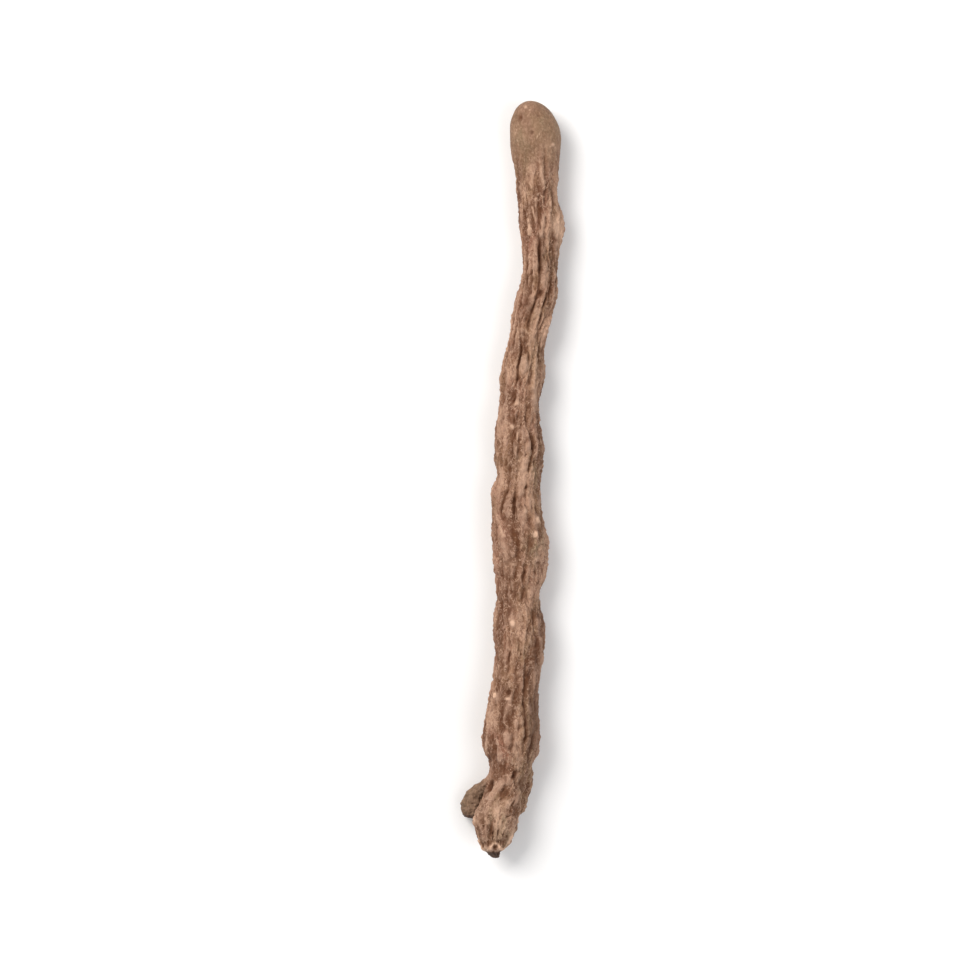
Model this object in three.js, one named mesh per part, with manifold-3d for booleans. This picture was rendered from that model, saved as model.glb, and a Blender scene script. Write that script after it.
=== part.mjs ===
// A dried curculigo rhizome: a long, slightly wavy root stock lying on its side.
// It has a domed end, a narrower lumpy tip with a torn end, a broken side stub
// and a small lobe beside the tip, and wrinkles that run along its whole length.
// Millimetres. +Y runs along the length towards the domed end, +Z is up, the floor is z = 0.

import * as THREE from 'three';
import { mergeVertices } from 'three/addons/utils/BufferGeometryUtils.js';
import Module from 'manifold-3d';

// Overall proportions
const LENGTH = 120;
const HEIGHT_TO_WIDTH = 0.92;
const DOME_LENGTH = 4.2;
const PLUG_LENGTH = 0.7;

// Outline from above: distance from the domed end, left edge, right edge
const OUTLINE = [
  [0, -0.5, 6.5], [2.4, -0.25, 7.05], [4.7, -0.3, 7.65], [6.3, -0.25, 7.85], [9.5, 0.1, 7.7],
  [12.6, 0.6, 7.5], [16.6, 1.0, 7.5], [19.3, 1.15, 8.2], [20.9, 1.3, 8.2], [22.3, 1.6, 7.8],
  [25, 1.65, 7.3], [28.5, 1.5, 7.2], [31.6, 0.6, 7.1], [35.6, -0.2, 6.1], [39.5, -0.9, 5.2],
  [42.7, -1.6, 5.2], [45.1, -1.6, 5.1], [47.4, -1.7, 4.4], [51.4, -2.5, 4.5], [56.1, -2.6, 5.0],
  [59.3, -2.2, 4.7], [62, -3.2, 4.6], [66.4, -3.3, 5.2], [69.6, -3.1, 5.8], [73.5, -2.8, 5.5],
  [75.9, -2.5, 5.2], [77.8, -2.5, 4.5], [80.3, -2.5, 4.6], [83, -2.8, 5.2], [87, -2.7, 5.1],
  [91.7, -3.2, 4.4], [96.4, -4.0, 4.3], [99.3, -4.4, 4.4], [101.2, -4.6, 4.4], [103.1, -4.3, 4.2],
  [105.6, -3.6, 3.2], [108.3, -4.1, 2.2], [110.7, -5.0, 1.4], [112.3, -5.7, 1.3],
  [114.2, -6.3, 1.1], [116.2, -6.0, 0.3], [117.8, -5.3, -0.5], [118.6, -4.7, -1.1],
  [119.0, -4.0, -1.7], [120, -3.4, -1.6],
];

// Height of the middle of the body above the floor
const MIDDLE_HEIGHT = [
  [0, 3.95], [4, 3.7], [9, 3.52], [16, 3.6], [25, 3.75], [40, 3.85], [56, 3.9], [68, 3.93],
  [78, 3.95], [85, 4.15], [99, 4.55], [106, 4.8], [113, 4.85], [118, 4.7], [120, 4.5],
];

// The five main furrows on top, right to left: distance from the domed end, position across
const TOP_FURROWS = [
  [
    [0, 5.6], [7.9, 6.6], [16.3, 6.6], [24, 6.5], [29.2, 6.5], [33.2, 6.0], [38.7, 4.6],
    [45.1, 4.4], [52.2, 4.0], [55.3, 4.3], [61.7, 3.6], [69.6, 4.6], [75.1, 3.9], [80.6, 3.6],
    [88.5, 4.1], [98, 3.8], [102.5, 3.3], [105.6, 2.7], [110.7, 1.0], [118.6, -1.6],
  ],
  [
    [0, 4.5], [7.9, 5.2], [15.8, 5.3], [21.3, 5.5], [29.2, 5.9], [32.6, 5.3], [36.4, 4.3],
    [41.1, 3.5], [49, 2.3], [51.4, 2.4], [54.5, 3.3], [60.4, 2.4], [67.2, 2.5], [70.8, 2.7],
    [74.3, 2.2], [75.9, 1.8], [80.6, 2.3], [83.8, 2.6], [87.7, 2.1], [93.3, 2.2], [94.9, 2.0],
    [96.8, 2.3], [101.2, 2.2], [105.1, 1.3], [110.7, 0.0], [118.6, -2.1],
  ],
  [
    [0, 3.4], [7.9, 3.8], [15.8, 4.1], [22.6, 4.4], [28.5, 4.3], [31.9, 3.6], [35.6, 2.6],
    [38.7, 2.6], [42.7, 2.5], [48.2, 1.6], [54.2, 1.2], [60.1, 0.7], [63.2, 0.5], [66.7, 0.4],
    [68.3, 0.1], [71.1, 0.9], [77.8, 0.4], [87.7, 0.9], [93.3, 0.4], [99.6, 0.1], [103.9, 0.1],
    [106.9, 0.4], [110.7, -1.4], [118.6, -2.7],
  ],
  [
    [0, 2.4], [7.9, 2.4], [15.8, 2.9], [20.9, 3.3], [28.5, 2.8], [34, 1.8], [37.2, 1.3],
    [39.8, 1.5], [42.7, 0.9], [53, 0.1], [58.5, -0.3], [61.3, -0.7], [64.5, -1.7], [70.4, -1.4],
    [75.1, -1.0], [82.2, -0.7], [87.3, -0.5], [93.3, -1.1], [99.6, -1.6], [105.1, -1.3],
    [108.6, -2.6], [110.7, -3.1], [116, -3.3], [118.6, -3.3],
  ],
  [
    [0, 1.3], [7.9, 1.0], [15.8, 1.9], [23.7, 2.2], [30, 1.6], [36.4, 0.5], [46.6, -0.5],
    [50.9, -1.4], [56.9, -1.7], [64, -2.7], [68.8, -2.5], [75.1, -1.8], [84.6, -1.7],
    [91.7, -2.2], [98, -2.9], [104.3, -3.0], [110.7, -4.5], [118.6, -3.9],
  ],
];

// Deep clefts in those furrows: furrow, from, to, extra depth
const CLEFTS = [
  [2, 21.8, 30.8, 0.5], [2, 30.8, 36.4, 0.4], [3, 37.9, 46.2, 0.45], [1, 28.9, 37.6, 0.35],
  [0, 37.2, 41.5, 0.25], [3, 46.6, 53.8, 0.25], [3, 57.2, 65.1, 0.4], [2, 62.3, 67.4, 0.5],
  [2, 67.7, 73, 0.35], [1, 73, 76.8, 0.35], [1, 51.9, 55.7, 0.4], [3, 85.4, 89.2, 0.35],
  [1, 89.2, 101.5, 0.5], [0, 101.8, 106.2, 0.45], [3, 103.6, 109.1, 0.3], [2, 104.6, 107.8, 0.5],
  [3, 110, 117.3, 0.45], [4, 25.6, 33.2, 0.25], [2, 52, 56.5, 0.3], [0, 14, 18, 0.3],
  [4, 98.8, 105.9, 0.25],
];

// Knots and pits on top: distance from the domed end, position across,
// half length, half width, height
const TOP_MARKS = [
  [42.2, 1.9, 1.7, 0.8, 0.45], [82.5, 0.2, 1.3, 1.1, 0.35], [66.6, 3.9, 1.0, 0.7, 0.3],
  [68.8, 3.7, 0.9, 0.6, 0.25], [59.8, 1.5, 1.8, 1.1, 0.25], [98.7, 0.9, 1.2, 0.6, 0.2],
  [94.1, -2.7, 0.9, 0.6, 0.25], [54.4, 3.5, 1.1, 0.5, -0.35], [30.5, 4.7, 0.9, 0.5, -0.25],
  [2.8, 1.3, 0.6, 0.6, -0.2], [7.1, 6.3, 0.7, 0.6, 0.15], [113.2, -1.0, 1.4, 1.2, 0.3],
  [112.6, -5.2, 1.5, 0.9, 0.25], [107.6, -1.4, 1.0, 1.1, 0.2], [118.1, -3.2, 0.6, 0.7, 0.3],
  [109.6, -1.6, 0.7, 1.6, -0.3], [108.6, -3.5, 0.8, 0.5, -0.4], [115.3, -3.2, 0.9, 0.5, -0.25],
];

// Furrows round the girth, and how the unseen ones wander
const FURROWS = 13;
const LEAST_SPACING = 0.27;
const WANDER = 0.16;
const MEANDER = 0.05;
const FURROW_DEPTH = 0.2;
const FURROW_HALF_WIDTH = 0.28;
const WRINKLE_DEPTH = 0.28;
const WRINKLE_HALF_WIDTH = 0.22;
const CREST_HEIGHT = 0.13;
const SWELLING = 0.15;
const SMALL_SWELLING = 0.12;

// The wrinkles begin softly behind the domed end: where they start and where they are full
const WRINKLES_FROM = 3.5;
const WRINKLES_FULL = 15;

// The tip is knobbly rather than furrowed: where that starts, and how high the knobs are
const KNOBBLY_FROM = 106;
const KNOB_HEIGHT = 0.3;

// Low spots that the body rests on: distance from the domed end, position across,
// half length, half width, drop below the floor before it is pressed flat
const LOW_SPOTS = [
  [9, 4.5, 3.2, 2.0, 0.32],
  [68.5, 2.5, 4.4, 2.0, 0.4],
];

// Broken side stub: centre across, centre along, centre height, half width, half height
const STUB = [
  [-1.0, -46.0, 4.2, 1.6, 1.7], [-2.2, -47.1, 3.7, 1.5, 1.75], [-3.2, -48.1, 3.2, 1.3, 1.75],
  [-4.1, -48.9, 2.65, 1.3, 1.8], [-4.95, -49.7, 2.2, 1.55, 1.9], [-5.5, -50.5, 1.87, 1.85, 2.0],
  [-5.9, -51.4, 1.74, 2.1, 2.02], [-6.1, -52.3, 1.68, 2.0, 1.95], [-6.2, -53.2, 1.68, 1.65, 1.7],
  [-6.3, -53.8, 1.7, 1.25, 1.3],
];
const STUB_END = [-6.25, -53.45, 1.8];

// Small lobe under the right side of the tip, in the same terms
const LOBE = [
  [2.0, -44.6, 4.3, 1.2, 1.5], [2.0, -46.2, 3.8, 1.35, 1.6], [1.9, -47.6, 3.3, 1.45, 1.65],
  [1.65, -49.0, 2.95, 1.45, 1.6], [1.3, -50.3, 2.75, 1.4, 1.5], [1.05, -51.6, 2.65, 1.35, 1.4],
  [0.9, -52.6, 2.6, 1.1, 1.15], [0.85, -53.1, 2.6, 0.7, 0.75],
];
const LOBE_END = [0.85, -53.35, 2.6];

// Mesh density
const BODY_RINGS = 80;
const TIP_RINGS = 13;
const TIP_END = 117;
const BRANCH_SIDES = 18;

const smooth = (t) => t * t * (3 - 2 * t);
const clamp = (value, low, high) => Math.min(Math.max(value, low), high);
const step = (from, to, at) => smooth(clamp((at - from) / (to - from), 0, 1));
const bell = (t) => Math.exp(-t * t);

// A fixed pattern of values from 0 to 1
function speck(i, j, seed) {
  const value = Math.sin(i * 127.1 + j * 311.7 + seed * 74.7) * 43758.5453;
  return value - Math.floor(value);
}

// Smooth values from -1 to 1 that close on themselves after `round` cells of v
function drift(u, v, round, seed) {
  const i = Math.floor(u);
  const j = Math.floor(v);
  const wrap = (cell) => ((cell % round) + round) % round;
  const a = smooth(u - i);
  const b = smooth(v - j);
  const near = speck(i, wrap(j), seed) * (1 - a) + speck(i + 1, wrap(j), seed) * a;
  const far = speck(i, wrap(j + 1), seed) * (1 - a) + speck(i + 1, wrap(j + 1), seed) * a;
  return 2 * (near * (1 - b) + far * b) - 1;
}

// A smooth curve through points; `item` picks which of their values it follows
function curve(points, item = 1) {
  const last = points.length - 1;
  const slope = points.map((point, i) => {
    const before = points[Math.max(i - 1, 0)];
    const after = points[Math.min(i + 1, last)];
    return (after[item] - before[item]) / (after[0] - before[0]);
  });
  return (at) => {
    const found = points.findIndex((point) => point[0] >= at);
    const i = clamp(found < 0 ? last : found, 1, last) - 1;
    const span = points[i + 1][0] - points[i][0];
    const t = clamp((at - points[i][0]) / span, 0, 1);
    const rise = smooth(t);
    const leave = t * (1 - t) * (1 - t) * span * slope[i];
    const arrive = t * t * (t - 1) * span * slope[i + 1];
    return points[i][item] * (1 - rise) + points[i + 1][item] * rise + leave + arrive;
  };
}

const leftEdge = curve(OUTLINE, 1);
const rightEdge = curve(OUTLINE, 2);
const middleHeight = curve(MIDDLE_HEIGHT);
const topFurrows = TOP_FURROWS.map((points) => curve(points));

// How far the rounding of either end has closed the body in, from 0 to 1
function closing(at) {
  const dome = 1 - clamp(at / DOME_LENGTH, 0, 1);
  const plug = 1 - clamp((LENGTH - at) / PLUG_LENGTH, 0, 1);
  return Math.sqrt(1 - dome * dome) * Math.sqrt(1 - plug * plug);
}

// The plain oval section at a distance from the domed end
function section(at) {
  const full = (rightEdge(at) - leftEdge(at)) / 2;
  const half = full * closing(at);
  return {
    full,
    across: (rightEdge(at) + leftEdge(at)) / 2,
    up: middleHeight(at),
    halfWidth: half,
    halfHeight: half * HEIGHT_TO_WIDTH,
  };
}

// Angles of all the furrows round one section, kept a little apart
function furrowAngles(at) {
  const { full, across } = section(at);
  const angles = topFurrows.map((furrow, i) => {
    const angle = Math.acos(clamp((furrow(at) - across) / full, -0.93, 0.93));
    return angle + MEANDER * drift(at / 2.7, i, FURROWS, 10);
  });
  const hidden = FURROWS - angles.length;
  const first = angles[angles.length - 1];
  const sweep = angles[0] + 2 * Math.PI - first;
  for (let i = 1; i <= hidden; i += 1) {
    const wander = WANDER * (drift(at / 9, i, FURROWS, 3) + 0.4 * drift(at / 3.5, i, FURROWS, 4));
    angles.push(first + (sweep * i) / (hidden + 1) + wander);
  }
  for (let pass = 0; pass < 6; pass += 1) {
    for (let i = 0; i < FURROWS; i += 1) {
      const next = (i + 1) % FURROWS;
      const turn = i + 1 === FURROWS ? 2 * Math.PI : 0;
      const short = LEAST_SPACING - (angles[next] + turn - angles[i]);
      if (short > 0) {
        angles[i] -= short / 2;
        angles[next] += short / 2;
      }
    }
  }
  return angles;
}

// How far along the knobbly stretch at the tip
const knobbly = (at) => step(KNOBBLY_FROM, KNOBBLY_FROM + 4, at);

// How strongly wrinkles show: the dome is smooth, the tip is knobbly and the torn end is blunt
function roughness(at) {
  return step(WRINKLES_FROM, WRINKLES_FULL, at)
    * (1 - 0.4 * knobbly(at))
    * (1 - step(116.5, 119, at));
}

function furrowDepth(at, furrow) {
  let depth = FURROW_DEPTH * Math.max(0.15, 1 + 1.3 * drift(at / 3.1, furrow, FURROWS, 5));
  for (const [which, from, to, extra] of CLEFTS) {
    if (which === furrow && at > from && at < to) {
      depth += extra * Math.sqrt(Math.sin((Math.PI * (at - from)) / (to - from)));
    }
  }
  if (furrow >= topFurrows.length) {
    depth += 0.4 * step(0.2, 0.7, drift(at / 6, furrow, FURROWS, 6));
  }
  return depth * roughness(at);
}

// The wrinkle between two furrows: how deep it is, and where it lies between them
function wrinkleDepth(at, furrow) {
  return WRINKLE_DEPTH * step(-0.4, 0.4, drift(at / 2.9, furrow, FURROWS, 7)) * roughness(at);
}

function wrinklePlace(at, furrow) {
  return 0.5 + 0.22 * drift(at / 2.8, furrow, FURROWS, 8);
}

// Broad swellings, and the knots and pits seen on top
function swelling(at, angle, x, top) {
  const round = angle / (2 * Math.PI);
  let rise = SWELLING * drift(at / 6.5, round * 5, 5, 1);
  rise += SMALL_SWELLING * drift(at / 2.6, round * 10, 10, 2);
  rise *= step(0, 6, at);
  rise += KNOB_HEIGHT * knobbly(at) * drift(at / 1.7, round * 9, 9, 11);
  if (top) {
    for (const [place, across, long, wide, height] of TOP_MARKS) {
      rise += height * bell((at - place) / long) * bell((x - across) / wide);
    }
  }
  return rise;
}

// Height of the skin across one ridge: furrows on both flanks, a wrinkle and a lumpy crest between
function ridgeRise(at, ridge, part, start, end, radius) {
  const left = (end - start) * part * radius;
  const right = (end - start) * (1 - part) * radius;
  const middle = (end - start) * (part - wrinklePlace(at, ridge)) * radius;
  const crest = 1 - bell(Math.min(left, right) / FURROW_HALF_WIDTH);
  return CREST_HEIGHT * roughness(at) * crest * drift(at / 2.3, 4 * (ridge + part), 4 * FURROWS, 9)
    - furrowDepth(at, ridge) * bell(left / FURROW_HALF_WIDTH)
    - furrowDepth(at, (ridge + 1) % FURROWS) * bell(right / FURROW_HALF_WIDTH)
    - wrinkleDepth(at, ridge) * bell(middle / WRINKLE_HALF_WIDTH);
}

// The underside drawn down to the floor at the low spots
function settle(at, x, z) {
  let height = z;
  for (const [place, side, long, wide, drop] of LOW_SPOTS) {
    const press = bell((at - place) / long) * bell((x - side) / wide);
    height += (-drop - height) * press * press;
  }
  return Math.max(height, 0);
}

// One ring of the body: four columns to each ridge
function bodyRing(at) {
  const { across, up, halfWidth, halfHeight } = section(at);
  const angles = furrowAngles(at);
  const points = [];
  for (let i = 0; i < FURROWS; i += 1) {
    const start = angles[i];
    const end = i + 1 === FURROWS ? angles[0] + 2 * Math.PI : angles[i + 1];
    const place = wrinklePlace(at, i);
    for (const part of [0, place * 0.52, place, 1 - (1 - place) * 0.52]) {
      const angle = start + (end - start) * part;
      const top = Math.sin(angle) > 0;
      const x = across + halfWidth * Math.cos(angle);
      const rise = closing(at)
        * (ridgeRise(at, i, part, start, end, halfWidth) + swelling(at, angle, x, top));
      const z = up + (halfHeight + rise) * Math.sin(angle);
      points.push(new THREE.Vector3(
        x + rise * Math.cos(angle),
        LENGTH / 2 - at,
        top ? z : settle(at, x, z),
      ));
    }
  }
  return points;
}

// Distances of the rings from the domed end, closer together at both ends
function ringPlaces() {
  const places = [];
  for (let i = 1; i <= 6; i += 1) {
    places.push(DOME_LENGTH * (1 - Math.cos((i * Math.PI) / 12)));
  }
  for (let i = 1; i <= BODY_RINGS; i += 1) {
    places.push(DOME_LENGTH + ((KNOBBLY_FROM - DOME_LENGTH) * i) / BODY_RINGS);
  }
  for (let i = 1; i <= TIP_RINGS; i += 1) {
    places.push(KNOBBLY_FROM + ((TIP_END - KNOBBLY_FROM) * i) / TIP_RINGS);
  }
  return places.concat([117.6, 118.1, 118.5, 118.8, 119.05, 119.4, 119.7, 119.92]);
}

// A closed skin over rings of points, with one point at each end
function skin(rings, start, end) {
  const sides = rings[0].length;
  const corners = [start, ...rings.flat(), end];
  const faces = [];
  for (let side = 0; side < sides; side += 1) {
    const next = (side + 1) % sides;
    faces.push(0, 1 + next, 1 + side);
    for (let ring = 0; ring + 1 < rings.length; ring += 1) {
      const here = 1 + ring * sides;
      const there = here + sides;
      faces.push(here + side, here + next, there + side);
      faces.push(here + next, there + next, there + side);
    }
    const lastRing = 1 + (rings.length - 1) * sides;
    faces.push(corners.length - 1, lastRing + side, lastRing + next);
  }
  const places = corners.flatMap((corner) => corner.toArray());
  const geometry = new THREE.BufferGeometry();
  geometry.setAttribute('position', new THREE.Float32BufferAttribute(places, 3));
  geometry.setIndex(faces);
  return geometry;
}

// A branch that leaves the body: ridged lengthwise, with a hollow broken end
function branch(stations, end, seed) {
  const rings = stations.map(([x, y, z, wide, high], i) => {
    const before = stations[Math.max(i - 1, 0)];
    const after = stations[Math.min(i + 1, stations.length - 1)];
    const heading = new THREE.Vector3(after[0] - before[0], after[1] - before[1], 0).normalize();
    const sideways = new THREE.Vector3(-heading.y, heading.x, 0);
    const points = [];
    for (let side = 0; side < BRANCH_SIDES; side += 1) {
      const angle = (2 * Math.PI * side) / BRANCH_SIDES;
      const ridge = side % 2 === 0 ? 0 : -0.09 - 0.07 * drift(i / 2.5, side, BRANCH_SIDES, seed);
      const lump = 1 + ridge + 0.06 * drift(i / 2, side / 3, BRANCH_SIDES / 3, seed + 1);
      const point = new THREE.Vector3(x, y, z + high * lump * Math.sin(angle));
      point.addScaledVector(sideways, wide * lump * Math.cos(angle));
      point.z = Math.max(point.z, 0);
      points.push(point);
    }
    return points;
  });
  const [x, y, z] = stations[0];
  return skin(rings, new THREE.Vector3(x, y, z), new THREE.Vector3(...end));
}

function bodySkin() {
  const start = new THREE.Vector3(section(0).across, LENGTH / 2, middleHeight(0));
  const end = new THREE.Vector3(section(LENGTH).across, -LENGTH / 2, middleHeight(LENGTH));
  return skin(ringPlaces().map(bodyRing), start, end);
}

const wasm = await Module();
wasm.setup();

function toSolid(geometry) {
  const plain = mergeVertices(geometry, 1e-4);
  return new wasm.Manifold(new wasm.Mesh({
    numProp: 3,
    vertProperties: plain.attributes.position.array,
    triVerts: new Uint32Array(plain.index.array),
  }));
}

function toGeometry(solid) {
  const mesh = solid.getMesh();
  const geometry = new THREE.BufferGeometry();
  geometry.setAttribute('position', new THREE.BufferAttribute(mesh.vertProperties, 3));
  geometry.setIndex(new THREE.BufferAttribute(mesh.triVerts, 1));
  return geometry;
}

// One grown piece: the body with its stub and its lobe
const solid = toSolid(bodySkin())
  .add(toSolid(branch(STUB, STUB_END, 21)))
  .add(toSolid(branch(LOBE, LOBE_END, 31)));
const geometry = toGeometry(solid);

// The middle of the resting outline is the origin
geometry.computeBoundingBox();
const middle = geometry.boundingBox.getCenter(new THREE.Vector3());
geometry.translate(-middle.x, -middle.y, -geometry.boundingBox.min.z);

const rhizome = new THREE.Mesh(
  geometry,
  new THREE.MeshStandardMaterial({ color: 0x8f6a52, roughness: 0.85, flatShading: true }),
);
rhizome.name = 'rhizome';

const object = new THREE.Group();
object.name = 'dried_curculigo_rhizome';
object.add(rhizome);

export default object;
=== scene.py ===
"""A dried curculigo rhizome: the finished look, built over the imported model."""

import math

import bmesh
import bpy
import numpy as np
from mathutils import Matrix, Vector
from mathutils.kdtree import KDTree


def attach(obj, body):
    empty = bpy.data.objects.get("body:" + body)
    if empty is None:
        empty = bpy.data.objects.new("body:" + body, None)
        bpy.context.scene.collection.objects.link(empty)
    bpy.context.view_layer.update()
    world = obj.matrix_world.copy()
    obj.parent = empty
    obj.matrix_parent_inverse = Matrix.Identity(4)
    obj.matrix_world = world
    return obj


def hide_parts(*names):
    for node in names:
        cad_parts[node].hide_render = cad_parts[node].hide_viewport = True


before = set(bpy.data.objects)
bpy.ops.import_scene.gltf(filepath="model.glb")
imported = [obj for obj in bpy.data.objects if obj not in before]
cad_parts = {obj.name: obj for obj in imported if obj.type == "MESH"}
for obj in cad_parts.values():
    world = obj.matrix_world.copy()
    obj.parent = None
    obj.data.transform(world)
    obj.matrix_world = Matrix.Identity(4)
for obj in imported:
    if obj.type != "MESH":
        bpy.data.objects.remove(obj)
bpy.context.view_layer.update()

# Overall proportions, in millimetres. "At" is the distance from the domed end,
# and SHIFT_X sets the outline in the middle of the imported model.
MM = 0.001
LENGTH = 120
SHIFT_X = -0.1772
HEIGHT_TO_WIDTH = 0.92
DOME_LENGTH = 4.2
PLUG_LENGTH = 0.7

# Outline from above: at, left edge, right edge
OUTLINE = [
    [0, -0.5, 6.5], [2.4, -0.25, 7.05], [4.7, -0.3, 7.65], [6.3, -0.25, 7.85], [9.5, 0.1, 7.7],
    [12.6, 0.6, 7.5], [16.6, 1.0, 7.5], [19.3, 1.15, 8.2], [20.9, 1.3, 8.2], [22.3, 1.6, 7.8],
    [25, 1.65, 7.3], [28.5, 1.5, 7.2], [31.6, 0.6, 7.1], [35.6, -0.2, 6.1], [39.5, -0.9, 5.2],
    [42.7, -1.6, 5.2], [45.1, -1.6, 5.1], [47.4, -1.7, 4.4], [51.4, -2.5, 4.5], [56.1, -2.6, 5.0],
    [59.3, -2.2, 4.7], [62, -3.2, 4.6], [66.4, -3.3, 5.2], [69.6, -3.1, 5.8], [73.5, -2.8, 5.5],
    [75.9, -2.5, 5.2], [77.8, -2.5, 4.5], [80.3, -2.5, 4.6], [83, -2.8, 5.2], [87, -2.7, 5.1],
    [91.7, -3.2, 4.4], [96.4, -4.0, 4.3], [99.3, -4.4, 4.4], [101.2, -4.6, 4.4], [103.1, -4.3, 4.2],
    [105.6, -3.6, 3.2], [108.3, -4.1, 2.2], [110.7, -5.0, 1.4], [112.3, -5.7, 1.3],
    [114.2, -6.3, 1.1], [116.2, -6.0, 0.3], [117.8, -5.3, -0.5], [118.6, -4.7, -1.1],
    [119.0, -4.0, -1.7], [120, -3.4, -1.6],
]

# Height of the middle of the body above the floor: at, height
MIDDLE_HEIGHT = [
    [0, 3.95], [4, 3.7], [9, 3.52], [16, 3.6], [25, 3.75], [40, 3.85], [56, 3.9], [68, 3.93],
    [78, 3.95], [85, 4.15], [99, 4.55], [106, 4.8], [113, 4.85], [118, 4.7], [120, 4.5],
]

# The five main furrows on top, right to left: at, position across
TOP_FURROWS = [
    [
        [0, 5.6], [7.9, 6.6], [16.3, 6.6], [24, 6.5], [29.2, 6.5], [33.2, 6.0], [38.7, 4.6],
        [45.1, 4.4], [52.2, 4.0], [55.3, 4.3], [61.7, 3.6], [69.6, 4.6], [75.1, 3.9], [80.6, 3.6],
        [88.5, 4.1], [98, 3.8], [102.5, 3.3], [105.6, 2.7], [110.7, 1.0], [118.6, -1.6],
    ],
    [
        [0, 4.5], [7.9, 5.2], [15.8, 5.3], [21.3, 5.5], [29.2, 5.9], [32.6, 5.3], [36.4, 4.3],
        [41.1, 3.5], [49, 2.3], [51.4, 2.4], [54.5, 3.3], [60.4, 2.4], [67.2, 2.5], [70.8, 2.7],
        [74.3, 2.2], [75.9, 1.8], [80.6, 2.3], [83.8, 2.6], [87.7, 2.1], [93.3, 2.2], [94.9, 2.0],
        [96.8, 2.3], [101.2, 2.2], [105.1, 1.3], [110.7, 0.0], [118.6, -2.1],
    ],
    [
        [0, 3.4], [7.9, 3.8], [15.8, 4.1], [22.6, 4.4], [28.5, 4.3], [31.9, 3.6], [35.6, 2.6],
        [38.7, 2.6], [42.7, 2.5], [48.2, 1.6], [54.2, 1.2], [60.1, 0.7], [63.2, 0.5], [66.7, 0.4],
        [68.3, 0.1], [71.1, 0.9], [77.8, 0.4], [87.7, 0.9], [93.3, 0.4], [99.6, 0.1], [103.9, 0.1],
        [106.9, 0.4], [110.7, -1.4], [118.6, -2.7],
    ],
    [
        [0, 2.4], [7.9, 2.4], [15.8, 2.9], [20.9, 3.3], [28.5, 2.8], [34, 1.8], [37.2, 1.3],
        [39.8, 1.5], [42.7, 0.9], [53, 0.1], [58.5, -0.3], [61.3, -0.7], [64.5, -1.7], [70.4, -1.4],
        [75.1, -1.0], [82.2, -0.7], [87.3, -0.5], [93.3, -1.1], [99.6, -1.6], [105.1, -1.3],
        [108.6, -2.6], [110.7, -3.1], [116, -3.3], [118.6, -3.3],
    ],
    [
        [0, 1.3], [7.9, 1.0], [15.8, 1.9], [23.7, 2.2], [30, 1.6], [36.4, 0.5], [46.6, -0.5],
        [50.9, -1.4], [56.9, -1.7], [64, -2.7], [68.8, -2.5], [75.1, -1.8], [84.6, -1.7],
        [91.7, -2.2], [98, -2.9], [104.3, -3.0], [110.7, -4.5], [118.6, -3.9],
    ],
]

# Deep clefts in those furrows: furrow, from, to, extra depth
CLEFTS = [
    [2, 21.8, 30.8, 0.5], [2, 30.8, 36.4, 0.4], [3, 37.9, 46.2, 0.45], [1, 28.9, 37.6, 0.35],
    [0, 37.2, 41.5, 0.25], [3, 46.6, 53.8, 0.25], [3, 57.2, 65.1, 0.4], [2, 62.3, 67.4, 0.5],
    [2, 67.7, 73, 0.2], [1, 73, 76.8, 0.35], [1, 51.9, 55.7, 0.15], [3, 85.4, 89.2, 0.35],
    [1, 89.2, 101.5, 0.5], [0, 101.8, 106.2, 0.45], [3, 103.6, 109.1, 0.3], [2, 104.6, 107.8, 0.5],
    [3, 110, 117.3, 0.45], [4, 25.6, 33.2, 0.25], [2, 52, 56.5, 0.15], [0, 14, 18, 0.3],
    [4, 98.8, 105.9, 0.25],
]

# Knots and pits on top: at, position across, half length, half width, height
TOP_MARKS = [
    [42.2, 1.9, 1.7, 0.8, 0.45], [82.5, 0.2, 1.3, 1.1, 0.35], [66.6, 3.9, 1.0, 0.7, 0.3],
    [68.8, 3.7, 0.9, 0.6, 0.25], [59.8, 1.5, 1.8, 1.1, 0.25], [98.7, 0.9, 1.2, 0.6, 0.2],
    [94.1, -2.7, 0.9, 0.6, 0.25], [54.4, 3.5, 1.1, 0.5, -0.35], [30.5, 4.7, 0.9, 0.5, -0.25],
    [2.8, 1.3, 0.6, 0.6, -0.2], [7.1, 6.3, 0.7, 0.6, 0.15], [113.2, -1.0, 1.4, 1.2, 0.3],
    [112.6, -5.2, 1.5, 0.9, 0.25], [107.6, -1.4, 1.0, 1.1, 0.2], [118.1, -3.2, 0.6, 0.7, 0.3],
    [109.6, -1.6, 0.7, 1.6, -0.3], [108.6, -3.5, 0.8, 0.5, -0.4], [115.3, -3.2, 0.9, 0.5, -0.25],
]

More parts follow.
